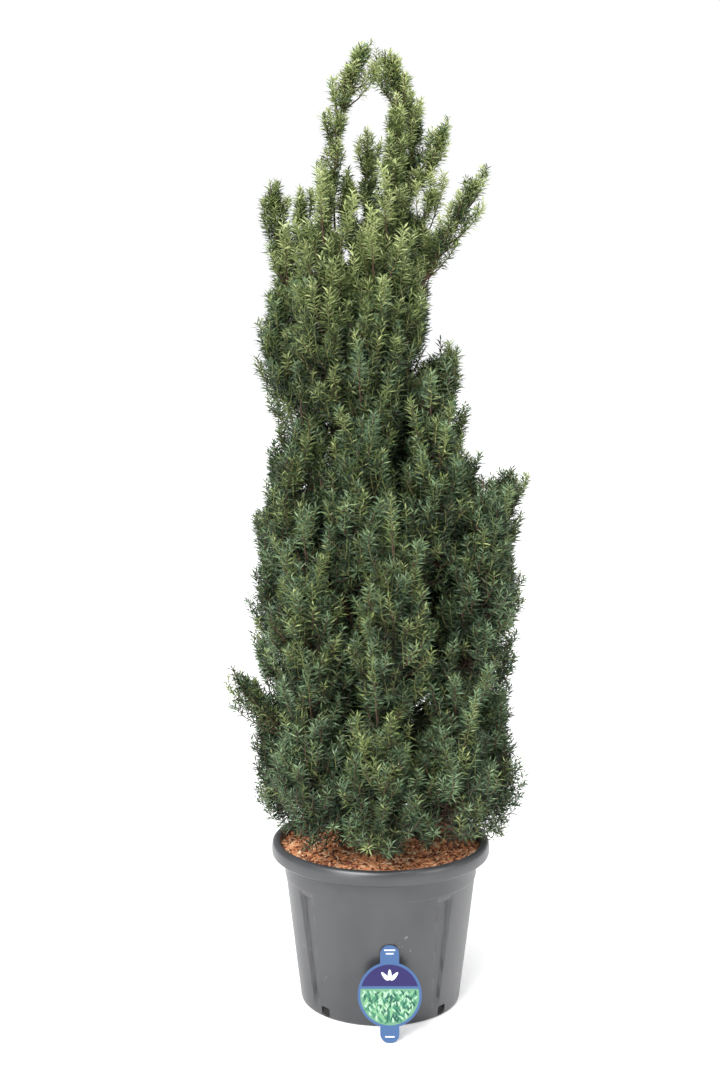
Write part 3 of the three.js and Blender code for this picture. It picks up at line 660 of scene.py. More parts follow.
# Needles all along shoots: a spiral that opens from the shoot, flattened towards its sides and drawn
# forward at its tip, each needle rolled a little. Gives four corners to each, base, two shoulders and
# tip, and its place in NEEDLES.
def needles_on(shoots, tones, families, random, spacing=NEEDLE_SPACING, scale=1):
    spans = np.linalg.norm(shoots[2] - shoots[0], axis=1)
    counts = np.maximum(8, np.round(spans / spacing)).astype(int)
    owner = np.repeat(np.arange(len(counts)), counts)
    place = np.arange(len(owner)) - np.repeat(np.cumsum(counts) - counts, counts)
    share = 0.06 + 0.94 * (place + 0.6) / counts[owner]
    curves = [points[owner] for points in shoots]
    spot = along_curve(curves, share)
    ahead = heading_on(curves, share)
    aside, over = square_to(ahead)
    size = len(owner)
    turn = place * 2.39996 + random.uniform(-0.5, 0.5, size) + owner * 1.7
    spread = aside * np.cos(turn)[:, None] + over * (0.75 * np.sin(turn) + 0.12)[:, None]
    spread = unit(spread)
    angle = np.radians(lerp(74, 38, share ** 3) + random.normal(0, 10, size))[:, None]
    lead = unit(ahead * np.cos(angle) + spread * np.sin(angle) + (0, 0, 0.08))
    length = NEEDLE_LENGTH * (0.76 + 0.32 * np.sin(np.pi * share ** 0.7)) * random.uniform(0.84, 1.12, size)
    length = scale * length[:, None]
    level = unit(np.cross(lead, ahead))
    roll = random.normal(0, NEEDLE_ROLL, size)[:, None]
    across = level * np.cos(roll) + np.cross(lead, level) * np.sin(roll)
    up = np.cross(across, lead)
    width = NEEDLE_HALF_WIDTH * random.uniform(0.85, 1.15, size)[:, None]
    shoulder = spot + lead * length * 0.42 + up * 0.5
    corners = np.stack([
        spot,
        shoulder - across * width,
        spot + lead * length - up * length * 0.06,
        shoulder + across * width,
    ], axis=1)
    # Needles near a shoot's tip are often a tone paler, as fresh growth; near its foot, within the spray,
    # often a tone darker, which is painted shade.
    tone = tones[owner] + (share > 0.66) * (random.uniform(0, 1, size) < 0.6)
    tone = tone - (share < 0.4) * (random.uniform(0, 1, size) < 0.7)
    pale = spot[:, 2] > random.normal(PALE_ABOVE, PALE_SPREAD, size)
    pale |= random.uniform(0, 1, size) < PALE_SHARE
    palest = np.where(pale, 4, 3)
    tone = np.clip(tone, 0, palest)
    return corners, np.where(families[owner], WARM[tone], COOL[tone])


# Closed thin tubes along curves given as rows of points, all with the same number of stations.
def tubes_along(paths, radii, sides):
    count, stations = paths.shape[:2]
    ahead = unit(np.gradient(paths, axis=1))
    chord = unit(paths[:, -1] - paths[:, 0])
    reference = np.where(np.abs(chord[:, 2:]) < 0.8, (0.0, 0.0, 1.0), (1.0, 0.0, 0.0))
    first = unit(np.cross(ahead, reference[:, None]))
    second = np.cross(ahead, first)
    turns = np.arange(sides) * 2 * math.pi / sides
    ring = first[:, :, None] * np.cos(turns)[:, None] + second[:, :, None] * np.sin(turns)[:, None]
    points = paths[:, :, None] + ring * radii[:, :, None, None]
    step = np.arange(sides)
    after = (step + 1) % sides
    faces = []
    for r in range(stations - 1):
        low, high = r * sides, (r + 1) * sides
        faces.append(np.stack([low + step, low + after, high + after], 1))
        faces.append(np.stack([low + step, high + after, high + step], 1))
    last = (stations - 1) * sides
    fan = np.arange(1, sides - 1)
    faces.append(np.stack([np.zeros_like(fan), fan + 1, fan], 1))
    faces.append(np.stack([last + np.zeros_like(fan), last + fan, last + fan + 1], 1))
    faces = np.concatenate(faces)
    faces = faces[None] + (np.arange(count) * stations * sides)[:, None, None]
    return points.reshape(-1, 3), faces.reshape(-1, 3)


# A piece from arrays of corners, in millimetres, and triangles, with a material to each triangle.
def piece_from(name, points, triangles, materials, tones=None, smooth=False):
    mesh = bpy.data.meshes.new(name)
    mesh.vertices.add(len(points))
    mesh.vertices.foreach_set("co", (points * MM).astype(np.float32).ravel())
    mesh.loops.add(3 * len(triangles))
    mesh.loops.foreach_set("vertex_index", triangles.astype(np.int32).ravel())
    mesh.polygons.add(len(triangles))
    mesh.polygons.foreach_set("loop_start", np.arange(0, 3 * len(triangles), 3, dtype=np.int32))
    for material in materials:
        mesh.materials.append(material)
    if tones is not None:
        mesh.polygons.foreach_set("material_index", tones.astype(np.int32))
    mesh.polygons.foreach_set("use_smooth", np.full(len(triangles), smooth))
    mesh.update()
    mesh.validate()
    piece = bpy.data.objects.new(name, mesh)
    bpy.context.collection.objects.link(piece)
    return piece


def finish_piece(piece, slot, *nodes):
    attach(piece, "root")
    if nodes:
        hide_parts(*nodes)
    return piece


# Materials.

def set_inputs(node, values):
    for label, value in values.items():
        node.inputs[label].default_value = value


def new_material(name, colour, roughness, specular=0.5):
    material = bpy.data.materials.new(name)
    material.use_nodes = True
    shader = material.node_tree.nodes["Principled BSDF"]
    set_inputs(shader, {"Base Color": (*colour, 1), "Roughness": roughness, "Specular IOR Level": specular})
    return material, shader


# A shader group that gives a mask of soft blotches and a mask of fine grain, on object coordinates.
def blotch_group():
    group = bpy.data.node_groups.new("blotches_and_grain", "ShaderNodeTree")
    for label, way, kind in (
        ("Blotch Scale", "INPUT", "Float"), ("Grain Scale", "INPUT", "Float"), ("Stretch", "INPUT", "Vector"),
        ("Blotches", "OUTPUT", "Float"), ("Grain", "OUTPUT", "Float"),
    ):
        group.interface.new_socket(label, in_out=way, socket_type="NodeSocket" + kind)
    nodes, links = group.nodes, group.links
    entry = nodes.new("NodeGroupInput")
    out = nodes.new("NodeGroupOutput")
    where = nodes.new("ShaderNodeTexCoord")
    stretch = nodes.new("ShaderNodeVectorMath")
    stretch.operation = "MULTIPLY"
    links.new(where.outputs["Object"], stretch.inputs[0])
    links.new(entry.outputs["Stretch"], stretch.inputs[1])
    for scale, mask, detail in (("Blotch Scale", "Blotches", 3), ("Grain Scale", "Grain", 6)):
        pattern = nodes.new("ShaderNodeTexNoise")
        set_inputs(pattern, {"Detail": detail, "Roughness": 0.55})
        links.new(stretch.outputs[0], pattern.inputs["Vector"])
        links.new(entry.outputs[scale], pattern.inputs["Scale"])
        links.new(pattern.outputs["Fac"], out.inputs[mask])
    return group


BLOTCHES = blotch_group()


def pattern_node(nodes, scales, stretch):
    pattern = nodes.new("ShaderNodeGroup")
    pattern.node_tree = BLOTCHES
    set_inputs(pattern, {"Blotch Scale": scales[0], "Grain Scale": scales[1], "Stretch": stretch})
    return pattern


# A node that maps a value's range to another one.
def range_node(nodes, links, value, low, high, to_low=0, to_high=1):
    spread = nodes.new("ShaderNodeMapRange")
    set_inputs(spread, {"From Min": low, "From Max": high, "To Min": to_low, "To Max": to_high})
    links.new(value, spread.inputs["Value"])
    return spread.outputs["Result"]


# A node that turns a base colour, as its input A, into another one by a factor.
def mix_node(nodes, links, factor, colour, shader):
    mix = nodes.new("ShaderNodeMix")
    mix.data_type = "RGBA"
    set_inputs(mix, {"B": (*colour, 1)})
    links.new(factor, mix.inputs["Factor"])
    links.new(mix.outputs["Result"], shader.inputs["Base Color"])
    return mix


# Adds the group to a material, mixes two colours by its blotches, and drives bump and roughness.
def worked_material(name, dark, light, roughness, scales, stretch=(1, 1, 1), bump=0.3, bump_depth=0.001,
                    rough_range=0.1, specular=0.5, contrast=(0.35, 0.65)):
    material, shader = new_material(name, light, roughness, specular)
    nodes, links = material.node_tree.nodes, material.node_tree.links
    pattern = pattern_node(nodes, scales, stretch)
    ramp = nodes.new("ShaderNodeValToRGB")
    for stop, place, colour in zip(ramp.color_ramp.elements, contrast, (dark, light)):
        stop.position = place
        stop.color = (*colour, 1)
    links.new(pattern.outputs["Blotches"], ramp.inputs["Fac"])
    links.new(ramp.outputs["Color"], shader.inputs["Base Color"])
    rough = range_node(nodes, links, pattern.outputs["Grain"], 0.3, 0.7,
                       roughness - rough_range, roughness + rough_range)
    links.new(rough, shader.inputs["Roughness"])
    relief = nodes.new("ShaderNodeBump")
    set_inputs(relief, {"Strength": bump, "Distance": bump_depth})
    links.new(pattern.outputs["Grain"], relief.inputs["Height"])
    links.new(relief.outputs["Normal"], shader.inputs["Normal"])
    return material


# Lays sparse pale scuffs over a material's base colour: thin streaks where a stretched pattern peaks.
def add_scuffs(material, colour):
    nodes, links = material.node_tree.nodes, material.node_tree.links
    shader = nodes["Principled BSDF"]
    below = shader.inputs["Base Color"].links[0].from_socket
    pattern = pattern_node(nodes, (26, 150), (1, 1, 0.35))
    both = nodes.new("ShaderNodeMath")
    both.operation = "MULTIPLY"
    links.new(pattern.outputs["Blotches"], both.inputs[0])
    links.new(pattern.outputs["Grain"], both.inputs[1])
    peak = range_node(nodes, links, both.outputs["Value"], 0.43, 0.49, 0, 0.8)
    mix = mix_node(nodes, links, peak, colour, shader)
    links.new(below, mix.inputs["A"])


# A needle's upper face, and its paler underside.
def needle_material(name, face, under, roughness=0.40, specular=0.32):
    material, shader = new_material(name, face, roughness, specular)
    nodes, links = material.node_tree.nodes, material.node_tree.links
    side = nodes.new("ShaderNodeNewGeometry")
    mix = mix_node(nodes, links, side.outputs["Backfacing"], under, shader)
    set_inputs(mix, {"A": (*face, 1)})
    return material


NEEDLES = [
    needle_material("needles_deep", (0.008, 0.017, 0.008), (0.015, 0.028, 0.012)),
    needle_material("needles_cool_dark", (0.019, 0.039, 0.021), (0.034, 0.059, 0.029)),
    needle_material("needles_cool_mid", (0.043, 0.082, 0.044), (0.064, 0.104, 0.050)),
    needle_material("needles_cool_light", (0.104, 0.174, 0.094), (0.128, 0.194, 0.098)),
    needle_material("needles_cool_pale", (0.200, 0.298, 0.160), (0.220, 0.300, 0.155)),
    needle_material("needles_warm_dark", (0.028, 0.047, 0.016), (0.047, 0.064, 0.023)),
    needle_material("needles_warm_mid", (0.061, 0.096, 0.030), (0.084, 0.113, 0.039)),
    needle_material("needles_warm_light", (0.150, 0.206, 0.064), (0.180, 0.223, 0.080)),
    needle_material("needles_warm_pale", (0.355, 0.412, 0.165), (0.370, 0.418, 0.185)),
]
YOUNG_STEM = new_material("young_stem", (0.16, 0.18, 0.055), 0.6)[0]
OLD_STEM = new_material("old_stem", (0.075, 0.040, 0.024), 0.8)[0]
BARK = worked_material(
    "flaking_bark", (0.07, 0.032, 0.020), (0.24, 0.12, 0.07), 0.85, (34, 160), (1, 1, 0.16),
    bump=0.8, bump_depth=0.002,
)


# The needles and twigs of every mass, in pieces by slot.

def by_height(table, heights):
    return np.interp(heights, list(table), list(table.values()))


# The tone of a shoot by its height and how far out it stands: palest at the top and at the reach's end.
# Darker deeper in its plume, which is painted shade, and paler further out, which is painted light.
def tones_of(shoots, depths, lifts, random):
    heights = shoots[2][:, 2]
    tone = by_height(MIDDLE_TONES, heights) + random.normal(0, TONE_SPREAD, len(heights))
    tone = tone + PAINTED_SHADE_BY_DEPTH * (np.clip(depths, 0, 1) - PAINTED_SHADE_NEUTRAL_DEPTH) + lifts
    return np.clip(np.round(tone), 0, 4).astype(int)


# Which shoots are of the warm family: few low down, nearly all at the top, and more on some plumes.
def warm_ones(shoots, random):
    heights = shoots[2][:, 2]
    chance = by_height(WARM_SHARES, heights)
    return random.uniform(0, 1, len(heights)) < chance + random.uniform(-0.25, 0.25)


def needle_piece(name, corners, tones):
    base = np.arange(len(corners))[:, None] * 4
    triangles = np.concatenate([base + (0, 1, 2), base + (0, 2, 3)])
    return piece_from(name, corners.reshape(-1, 3), triangles, NEEDLES, np.concatenate([tones, tones]))


# The needles of all plumes and of the shoots round the leader. Gives the twigs and shoots of these.
def grow_foliage():
    share_out_edge_tips()
    groups = {}
    for plume in plumes:
        random = np.random.default_rng(plume["seed"])
        twigs, shoots, depths, lifts = shoots_of(plume, random)
        # Open plumes get no painted shade by depth.
        tones = tones_of(shoots, depths if plume["dense"] else PAINTED_SHADE_NEUTRAL_DEPTH, lifts, random)
        families = warm_ones(shoots, random)
        spacing = NEEDLE_SPACING * (YOUNG_SPACING if plume["young"] else 1)
        scale = YOUNG_LENGTH if plume["young"] else 1
        corners, needle_tones = needles_on(shoots, tones, families, random, spacing, scale)
        slot = "young_needles" if plume["young"] else "old_needles"
        batches = groups.setdefault(slot, [[]])
        if 2 * (sum(len(entry[1]) for entry in batches[-1]) + len(corners)) > MOST_TRIANGLES:
            batches.append([])
        batches[-1].append((plume, corners, needle_tones))
        plume["twigs"] = twigs
        plume["shoots"] = shoots
    random = np.random.default_rng(INNER_SEED)
    twigs, shoots = inner_shoots(random)
    # Only the two darkest tones: painted shade inside the crown.
    tones = random.integers(0, 2, len(shoots[0]))
    corners, needle_tones = needles_on(shoots, tones, warm_ones(shoots, random), random, INNER_SPACING)
    finish_piece(needle_piece("inner_needles", corners, needle_tones), "old_needles")
    for slot, batches in groups.items():
        for number, batch in enumerate(batches):
            corners = np.concatenate([entry[1] for entry in batch])
            tones = np.concatenate([entry[2] for entry in batch])
            piece = needle_piece(f"{slot}_{number + 1}", corners, tones)
            finish_piece(piece, slot, *[entry[0]["name"] for entry in batch])
    return twigs, shoots


# The stems of all shoots, twigs and plumes, with the inner twigs and shoots. A shoot's stem is young
# from about the first of YOUNG_STEMS up, within the second of it.
def grow_stems(inner):
    stations = len(SHOOT_RADII)

    def paths(kind, inner_curves):
        curves = joined([plume[kind] for plume in plumes] + [inner_curves])
        return along_curve([points[:, None] for points in curves], np.linspace(0, 1, stations))

    shoots = paths("shoots", inner[1])
    count = len(shoots)
    points, triangles = tubes_along(shoots, np.tile(SHOOT_RADII, (count, 1)), 3)
    corners = 3 * stations
    per = len(triangles) // count
    height, spread = YOUNG_STEMS
    young = shoots[:, -1, 2] > height + spread * np.random.default_rng(STEM_SEED).uniform(-1, 1, count)
    tones = np.repeat(young.astype(int), per)
    for number, (low, high) in enumerate(((0, count // 2), (count // 2, count))):
        piece = piece_from(
            f"shoot_stems_{number + 1}", points[low * corners:high * corners],
            triangles[low * per:high * per] - low * corners, [OLD_STEM, YOUNG_STEM],
            tones[low * per:high * per])
        finish_piece(piece, "bark")
    twigs = paths("twigs", inner[0])
    points, triangles = tubes_along(twigs, np.tile(TWIG_RADII, (len(twigs), 1)), 4)
    finish_piece(piece_from("twigs", points, triangles, [OLD_STEM]), "bark")
    shares = np.linspace(0, 1, 13)
    axes = np.array([along_curve(plume["axis"], lerp(0.004, 1, shares)) for plume in plumes])
    thick = np.array([lerp(plume["stem"], 1.0, shares ** 0.8) for plume in plumes])
    points, triangles = tubes_along(axes, thick, 6)
    finish_piece(piece_from("mass_stems", points, triangles, [OLD_STEM], smooth=True), "bark")


# The trunk and the boughs, as curves with a round section made into meshes with the bark's relief.

def deselect():
    bpy.ops.object.select_all(action="DESELECT")


def only(piece):
    deselect()
    piece.select_set(True)
    bpy.context.view_layer.objects.active = piece


def edit_all():
    bpy.ops.object.mode_set(mode="EDIT")
    bpy.ops.mesh.select_all(action="SELECT")


def end_edit():
    bpy.ops.mesh.select_all(action="SELECT")
    bpy.ops.mesh.normals_make_consistent(inside=False)
    bpy.ops.object.mode_set(mode="OBJECT")


def limb_mesh(name, stations, radii, resolution):
    bpy.ops.curve.primitive_nurbs_path_add()
    limb = bpy.context.object
    limb.name = name
    curve = limb.data
    curve.splines.clear()
    spline = curve.splines.new("POLY")
    spline.points.add(len(stations) - 1)
    for point, place, radius in zip(spline.points, stations, radii):
        point.co = (*(place * MM), 1)
        point.radius = radius * MM
    curve.bevel_depth = 1
    curve.bevel_resolution = resolution
    curve.use_fill_caps = True
    bpy.ops.object.convert(target="MESH")
    limb = bpy.context.object
    edit_all()
    bpy.ops.mesh.remove_doubles(threshold=1e-6)
    end_edit()
    for vertex in limb.data.vertices:
        place = vertex.co / MM
        ridge = noise.noise(Vector((place.x * 0.11, place.y * 0.11, place.z * 0.016)))
        flake = noise.noise(Vector((place.x * 0.3, place.y * 0.3, place.z * 0.06 + 7)))
        vertex.co += vertex.normal * (1.5 * ridge + 0.8 * flake - 0.4) * MM
    bpy.ops.object.shade_smooth()
    limb.data.materials.append(BARK)
    return limb


def make_limbs():
    shares = np.linspace(0, 1, 170)
    trunk = limb_mesh("leader", [trunk_point(s) for s in shares], [trunk_radius(s) for s in shares], 7)
    finish_piece(trunk, "bark", "trunk")
    for bough in boughs:
        shares = np.linspace(0.0, 1.0, 70)
        stations = [along_curve(bough["curve"], s) for s in shares]
        radii = [lerp(bough["foot"], bough["end"], s) for s in shares]
        piece = limb_mesh(bough["name"].replace("bough_", "limb_"), stations, radii, 4)
        finish_piece(piece, "bark", bough["name"])


# The pot: a ring extruded and widened along the wall's profile, then pressed into flutes.

def wall_radius(height):
    return FOOT_RADIUS + FLARE * height


def inner_radius(height):
    return wall_radius(height) - WALL


def flute_depth(azimuth, height):
    if not FLUTE_DEPTHS[0][0] < height < FLUTE_DEPTHS[-1][0]:
        return 0.0
    deep = float(np.interp(height, *zip(*FLUTE_DEPTHS)))
    half = lerp(FLUTE_HALF_LOW, FLUTE_HALF_HIGH, height / SEAM)
    depth = 0.0
    for middle in FLUTE_AZIMUTHS:
        turn = (azimuth - middle + 180) % 360 - 180
        share = abs(math.radians(turn)) * wall_radius(height) / half
        if share < 1:
            edge = min((1 - share) / 0.3, 1)
            depth = deep * edge * edge * (3 - 2 * edge)
    return depth


def turned_piece(name, profile, segments):
    first_radius, first_height = profile[0]
    bpy.ops.mesh.primitive_circle_add(
        vertices=segments, radius=first_radius * MM, location=(0, 0, first_height * MM), fill_type="NGON")
    piece = bpy.context.object
    piece.name = name
    bpy.ops.object.transform_apply(location=True, rotation=True, scale=True)
    edit_all()
    for (radius, height), (next_radius, next_height) in zip(profile[:-1], profile[1:]):
        bpy.ops.mesh.extrude_region_move(
            TRANSFORM_OT_translate={"value": (0, 0, (next_height - height) * MM)})
        grow = next_radius / radius
        bpy.ops.transform.resize(value=(grow, grow, 1), center_override=(0, 0, next_height * MM))
    end_edit()
    return piece


def press_flutes(piece):
    for vertex in piece.data.vertices:
        x, y, z = vertex.co / MM
        radius = math.hypot(x, y)
        if radius < FOOT_RADIUS - 20:
            continue
        depth = flute_depth(math.degrees(math.atan2(x, -y)), z)
        vertex.co.x *= (radius - depth) / radius
        vertex.co.y *= (radius - depth) / radius


def cut_notches(piece):
    for k in range(NOTCH_COUNT):
        azimuth = NOTCH_FIRST + 360 / NOTCH_COUNT * k
        middle = (NOTCH_LOW + NOTCH_HIGH) / 2
        place = around(azimuth, wall_radius(middle), middle) * MM
        bpy.ops.mesh.primitive_cube_add(size=1, location=place, rotation=(0, 0, math.radians(azimuth)))
        cutter = bpy.context.object
        cutter.scale = (NOTCH_WIDTH * MM, 14 * MM, (NOTCH_HIGH - NOTCH_LOW) * MM)
        bpy.ops.object.transform_apply(location=False, rotation=False, scale=True)
        bevel = cutter.modifiers.new("round", "BEVEL")
        bevel.width = 5 * MM
        bevel.segments = 3
        bpy.ops.object.modifier_apply(modifier="round")
        only(piece)
        cut = piece.modifiers.new("notch", "BOOLEAN")
        cut.object = cutter
        cut.operation = "DIFFERENCE"
        cut.solver = "EXACT"
        bpy.ops.object.modifier_apply(modifier="notch")
        bpy.data.objects.remove(cutter)


def make_pot():
    body = [(wall_radius(height), height) for height in range(10, 318, 7)]
    outside = [
        (FOOT_RADIUS - 9, 0), (FOOT_RADIUS - 4, 0.8), (FOOT_RADIUS - 0.5, 4), *body,
        (wall_radius(318), 318.4), (wall_radius(319) + 1.3, 319), (wall_radius(321) + 1.4, 321.4),
        (wall_radius(SEAM) + 2.2, 322.6), (wall_radius(SEAM) + 2.6, 325), (237.5, 340), (239.5, 355),
        (COLLAR_RADIUS, 367), (COLLAR_RADIUS + 0.6, 369.6), (COLLAR_RADIUS + 2.5, 371),
        (LIP_RADIUS - 8, 371.6), (LIP_RADIUS - 4, 372.4), (LIP_RADIUS - 1.2, 375), (LIP_RADIUS, 379),
        (LIP_RADIUS, 390), (LIP_RADIUS - 0.6, 398), (LIP_RADIUS - 2.4, 404), (LIP_RADIUS - 6, 408),
        (LIP_RADIUS - 10.5, 409.9), (LIP_RADIUS - 15, 409), (LIP_INNER + 2, 405.5), (LIP_INNER - 0.4, 399),
    ]
    inside = [
        (COLLAR_RADIUS, 373), (COLLAR_RADIUS - WALL, 366), (inner_radius(SEAM), 319),
        *[(inner_radius(height), height) for height in (315, 296, 52, 30, FLOOR)],
    ]
    pot = turned_piece("nursery_pot", outside + inside, POT_SEGMENTS)
    press_flutes(pot)
    cut_notches(pot)
    only(pot)
    bpy.ops.object.shade_smooth_by_angle(angle=math.radians(28))
    plastic = worked_material(
        "recycled_plastic", (0.025, 0.026, 0.029), (0.038, 0.039, 0.042), 0.36, (9, 420),
        (1, 1, 0.55), bump=0.12, bump_depth=0.0004, rough_range=0.05, specular=0.65)
    add_scuffs(plastic, (0.34, 0.34, 0.34))
    set_inputs(plastic.node_tree.nodes["Principled BSDF"], {"Coat Weight": 0.08, "Coat Roughness": 0.3})
    pot.data.materials.append(plastic)
    finish_piece(pot, "pot_plastic", "pot")


# The fill: soil with a rough crowned top, its sides painted near black as shade, and loose bark chips on it.

def make_mulch():
    random = np.random.default_rng(CHIP_SEED)
    foot = inner_radius(FLOOR) - CLEAR
    rings = [(foot, FLOOR + CLEAR), (foot, 26), (inner_radius(52) - 11, 50),
             (inner_radius(296) - 11, 300), (COLLAR_RADIUS - WALL - 2, 366)]
    for share in np.linspace(1, 0.02, 26):
        rings.append((MULCH_RADIUS * share, lerp(MULCH_MIDDLE, MULCH_EDGE, share) - 4))
    soil = turned_piece("soil", rings, 96)
    for vertex in soil.data.vertices:
        if vertex.co.z > COLLAR_TOP * MM:
            vertex.co.z += SOIL_RELIEF * MM * noise.noise(vertex.co * 60)
    soil.data.materials.append(worked_material(
        "crumbly_soil", (0.10, 0.042, 0.023), (0.32, 0.145, 0.078), 0.95, (70, 300),
        bump=1.0, bump_depth=0.004))
    # Below the collar top the soil is painted near black: painted shade where it shows through the notches at
    # the pot's foot.
    soil.data.materials.append(new_material("soil_painted_shade", (0.012, 0.010, 0.009), 0.95)[0])
    for face in soil.data.polygons:
        if face.center.z < COLLAR_TOP * MM:
            face.material_index = 1
    only(soil)
    bpy.ops.object.shade_smooth_by_angle(angle=math.radians(50))
    finish_piece(soil, "bark_mulch", "mulch")

    count = CHIP_COUNT
    distance = (MULCH_RADIUS - 1) * np.sqrt(random.uniform(0.02, 1, count))
    azimuth = random.uniform(0, 2 * math.pi, count)
    height = lerp(MULCH_MIDDLE, MULCH_EDGE, distance / MULCH_RADIUS) + random.uniform(-4, 3.2, count)
    middle = np.stack([distance * np.sin(azimuth), -distance * np.cos(azimuth), height], 1)
    longest = np.where(random.uniform(0, 1, count) < 0.2, random.uniform(12, 24, count),
                       random.uniform(4, 12, count))
    widest = longest * random.uniform(0.25, 0.6, count)
    thick = np.clip(longest * 0.16, 1.0, 3.2)
    turn = random.uniform(0, 2 * math.pi, count)
    tilt = random.normal(0, 0.3, count)
    ahead = np.stack([np.cos(turn) * np.cos(tilt), np.sin(turn) * np.cos(tilt), np.sin(tilt)], 1)
    aside, over = square_to(ahead)
    corners = []
    for level in (-0.5, 0.5):
        for length, width in ((-0.5, -0.3), (0.1, -0.5), (0.5, -0.15), (0.45, 0.3), (-0.2, 0.5)):
            stretch = 1 + random.uniform(-0.25, 0.25, count) - 0.12 * (level > 0)
            corners.append(
                middle + ahead * (longest * length * stretch)[:, None]
                + aside * (widest * width * stretch)[:, None] + over * (thick * level)[:, None])
    corners = np.stack(corners, 1)
    faces = [(0, 2, 1), (0, 3, 2), (0, 4, 3), (5, 6, 7), (5, 7, 8), (5, 8, 9)]
    for i in range(5):
        after = (i + 1) % 5
        faces += [(i, after, after + 5), (i, after + 5, i + 5)]
    triangles = np.array(faces)[None] + (np.arange(count) * 10)[:, None, None]
    chip_colours = [
        ((0.13, 0.045, 0.024), (0.28, 0.100, 0.048)), ((0.50, 0.190, 0.082), (0.74, 0.31, 0.14)),
        ((0.70, 0.30, 0.135), (0.88, 0.46, 0.23)), ((0.84, 0.53, 0.30), (0.94, 0.70, 0.46)),
    ]
    materials = [
        worked_material(f"bark_chips_{number + 1}", dark, light, 0.85, (90, 500), bump=0.6, bump_depth=0.001)
        for number, (dark, light) in enumerate(chip_colours)]
    tones = random.choice(4, count, p=(0.26, 0.33, 0.27, 0.14))
    chips = piece_from("bark_chips", corners.reshape(-1, 3), triangles.reshape(-1, 3), materials,
                       np.repeat(tones, len(faces)))
    finish_piece(chips, "bark_mulch")


# The care tag: a disc with two tabs, and thin printed panels in a plain design of its own.

def tag_matrix():
    lean = math.radians(TAG_LEAN)
    length = 2 * TAG_RADIUS + TAG_TOP + TAG_FOOT
    sink = TAG_THICK * math.sin(lean)
    away = wall_radius(length * math.cos(lean) + sink) + 2 * CLEAR
    place = Vector((TAG_X, -away - length * math.sin(lean), sink)) * MM
    return Matrix.Translation(place) @ Matrix.Rotation(-lean, 4, "X")


# A flat panel on the tag's face, from an outline of (x, height above the disc's middle), in millimetres.
def tag_panel(name, outline, front, thick, material):
    deselect()
    bpy.ops.mesh.primitive_circle_add(vertices=len(outline), fill_type="NGON")
    panel = bpy.context.object
    panel.name = name
    for vertex, (x, z) in zip(panel.data.vertices, outline):
        vertex.co = Vector((x, -front, TAG_RADIUS + TAG_FOOT + z)) * MM
    edit_all()
    bpy.ops.mesh.extrude_region_move(TRANSFORM_OT_translate={"value": (0, -thick * MM, 0)})
    end_edit()
    panel.data.materials.append(material)
    return panel


def arc(radius, start, end, count, middle=(0, 0)):
    return [
        (middle[0] + radius * math.cos(math.radians(lerp(start, end, i / count))),
         middle[1] + radius * math.sin(math.radians(lerp(start, end, i / count))))
        for i in range(count + 1)]


def leaf_outline(middle, length, width, turn):
    angle = math.radians(turn)
    points = []
    for i in range(12):
        step = 2 * math.pi * i / 12
        x, z = width / 2 * math.sin(step) * (1 - 0.25 * math.cos(step)), length / 2 * math.cos(step)
        points.append((middle[0] + x * math.cos(angle) - z * math.sin(angle),
                       middle[1] + x * math.sin(angle) + z * math.cos(angle)))
    return points


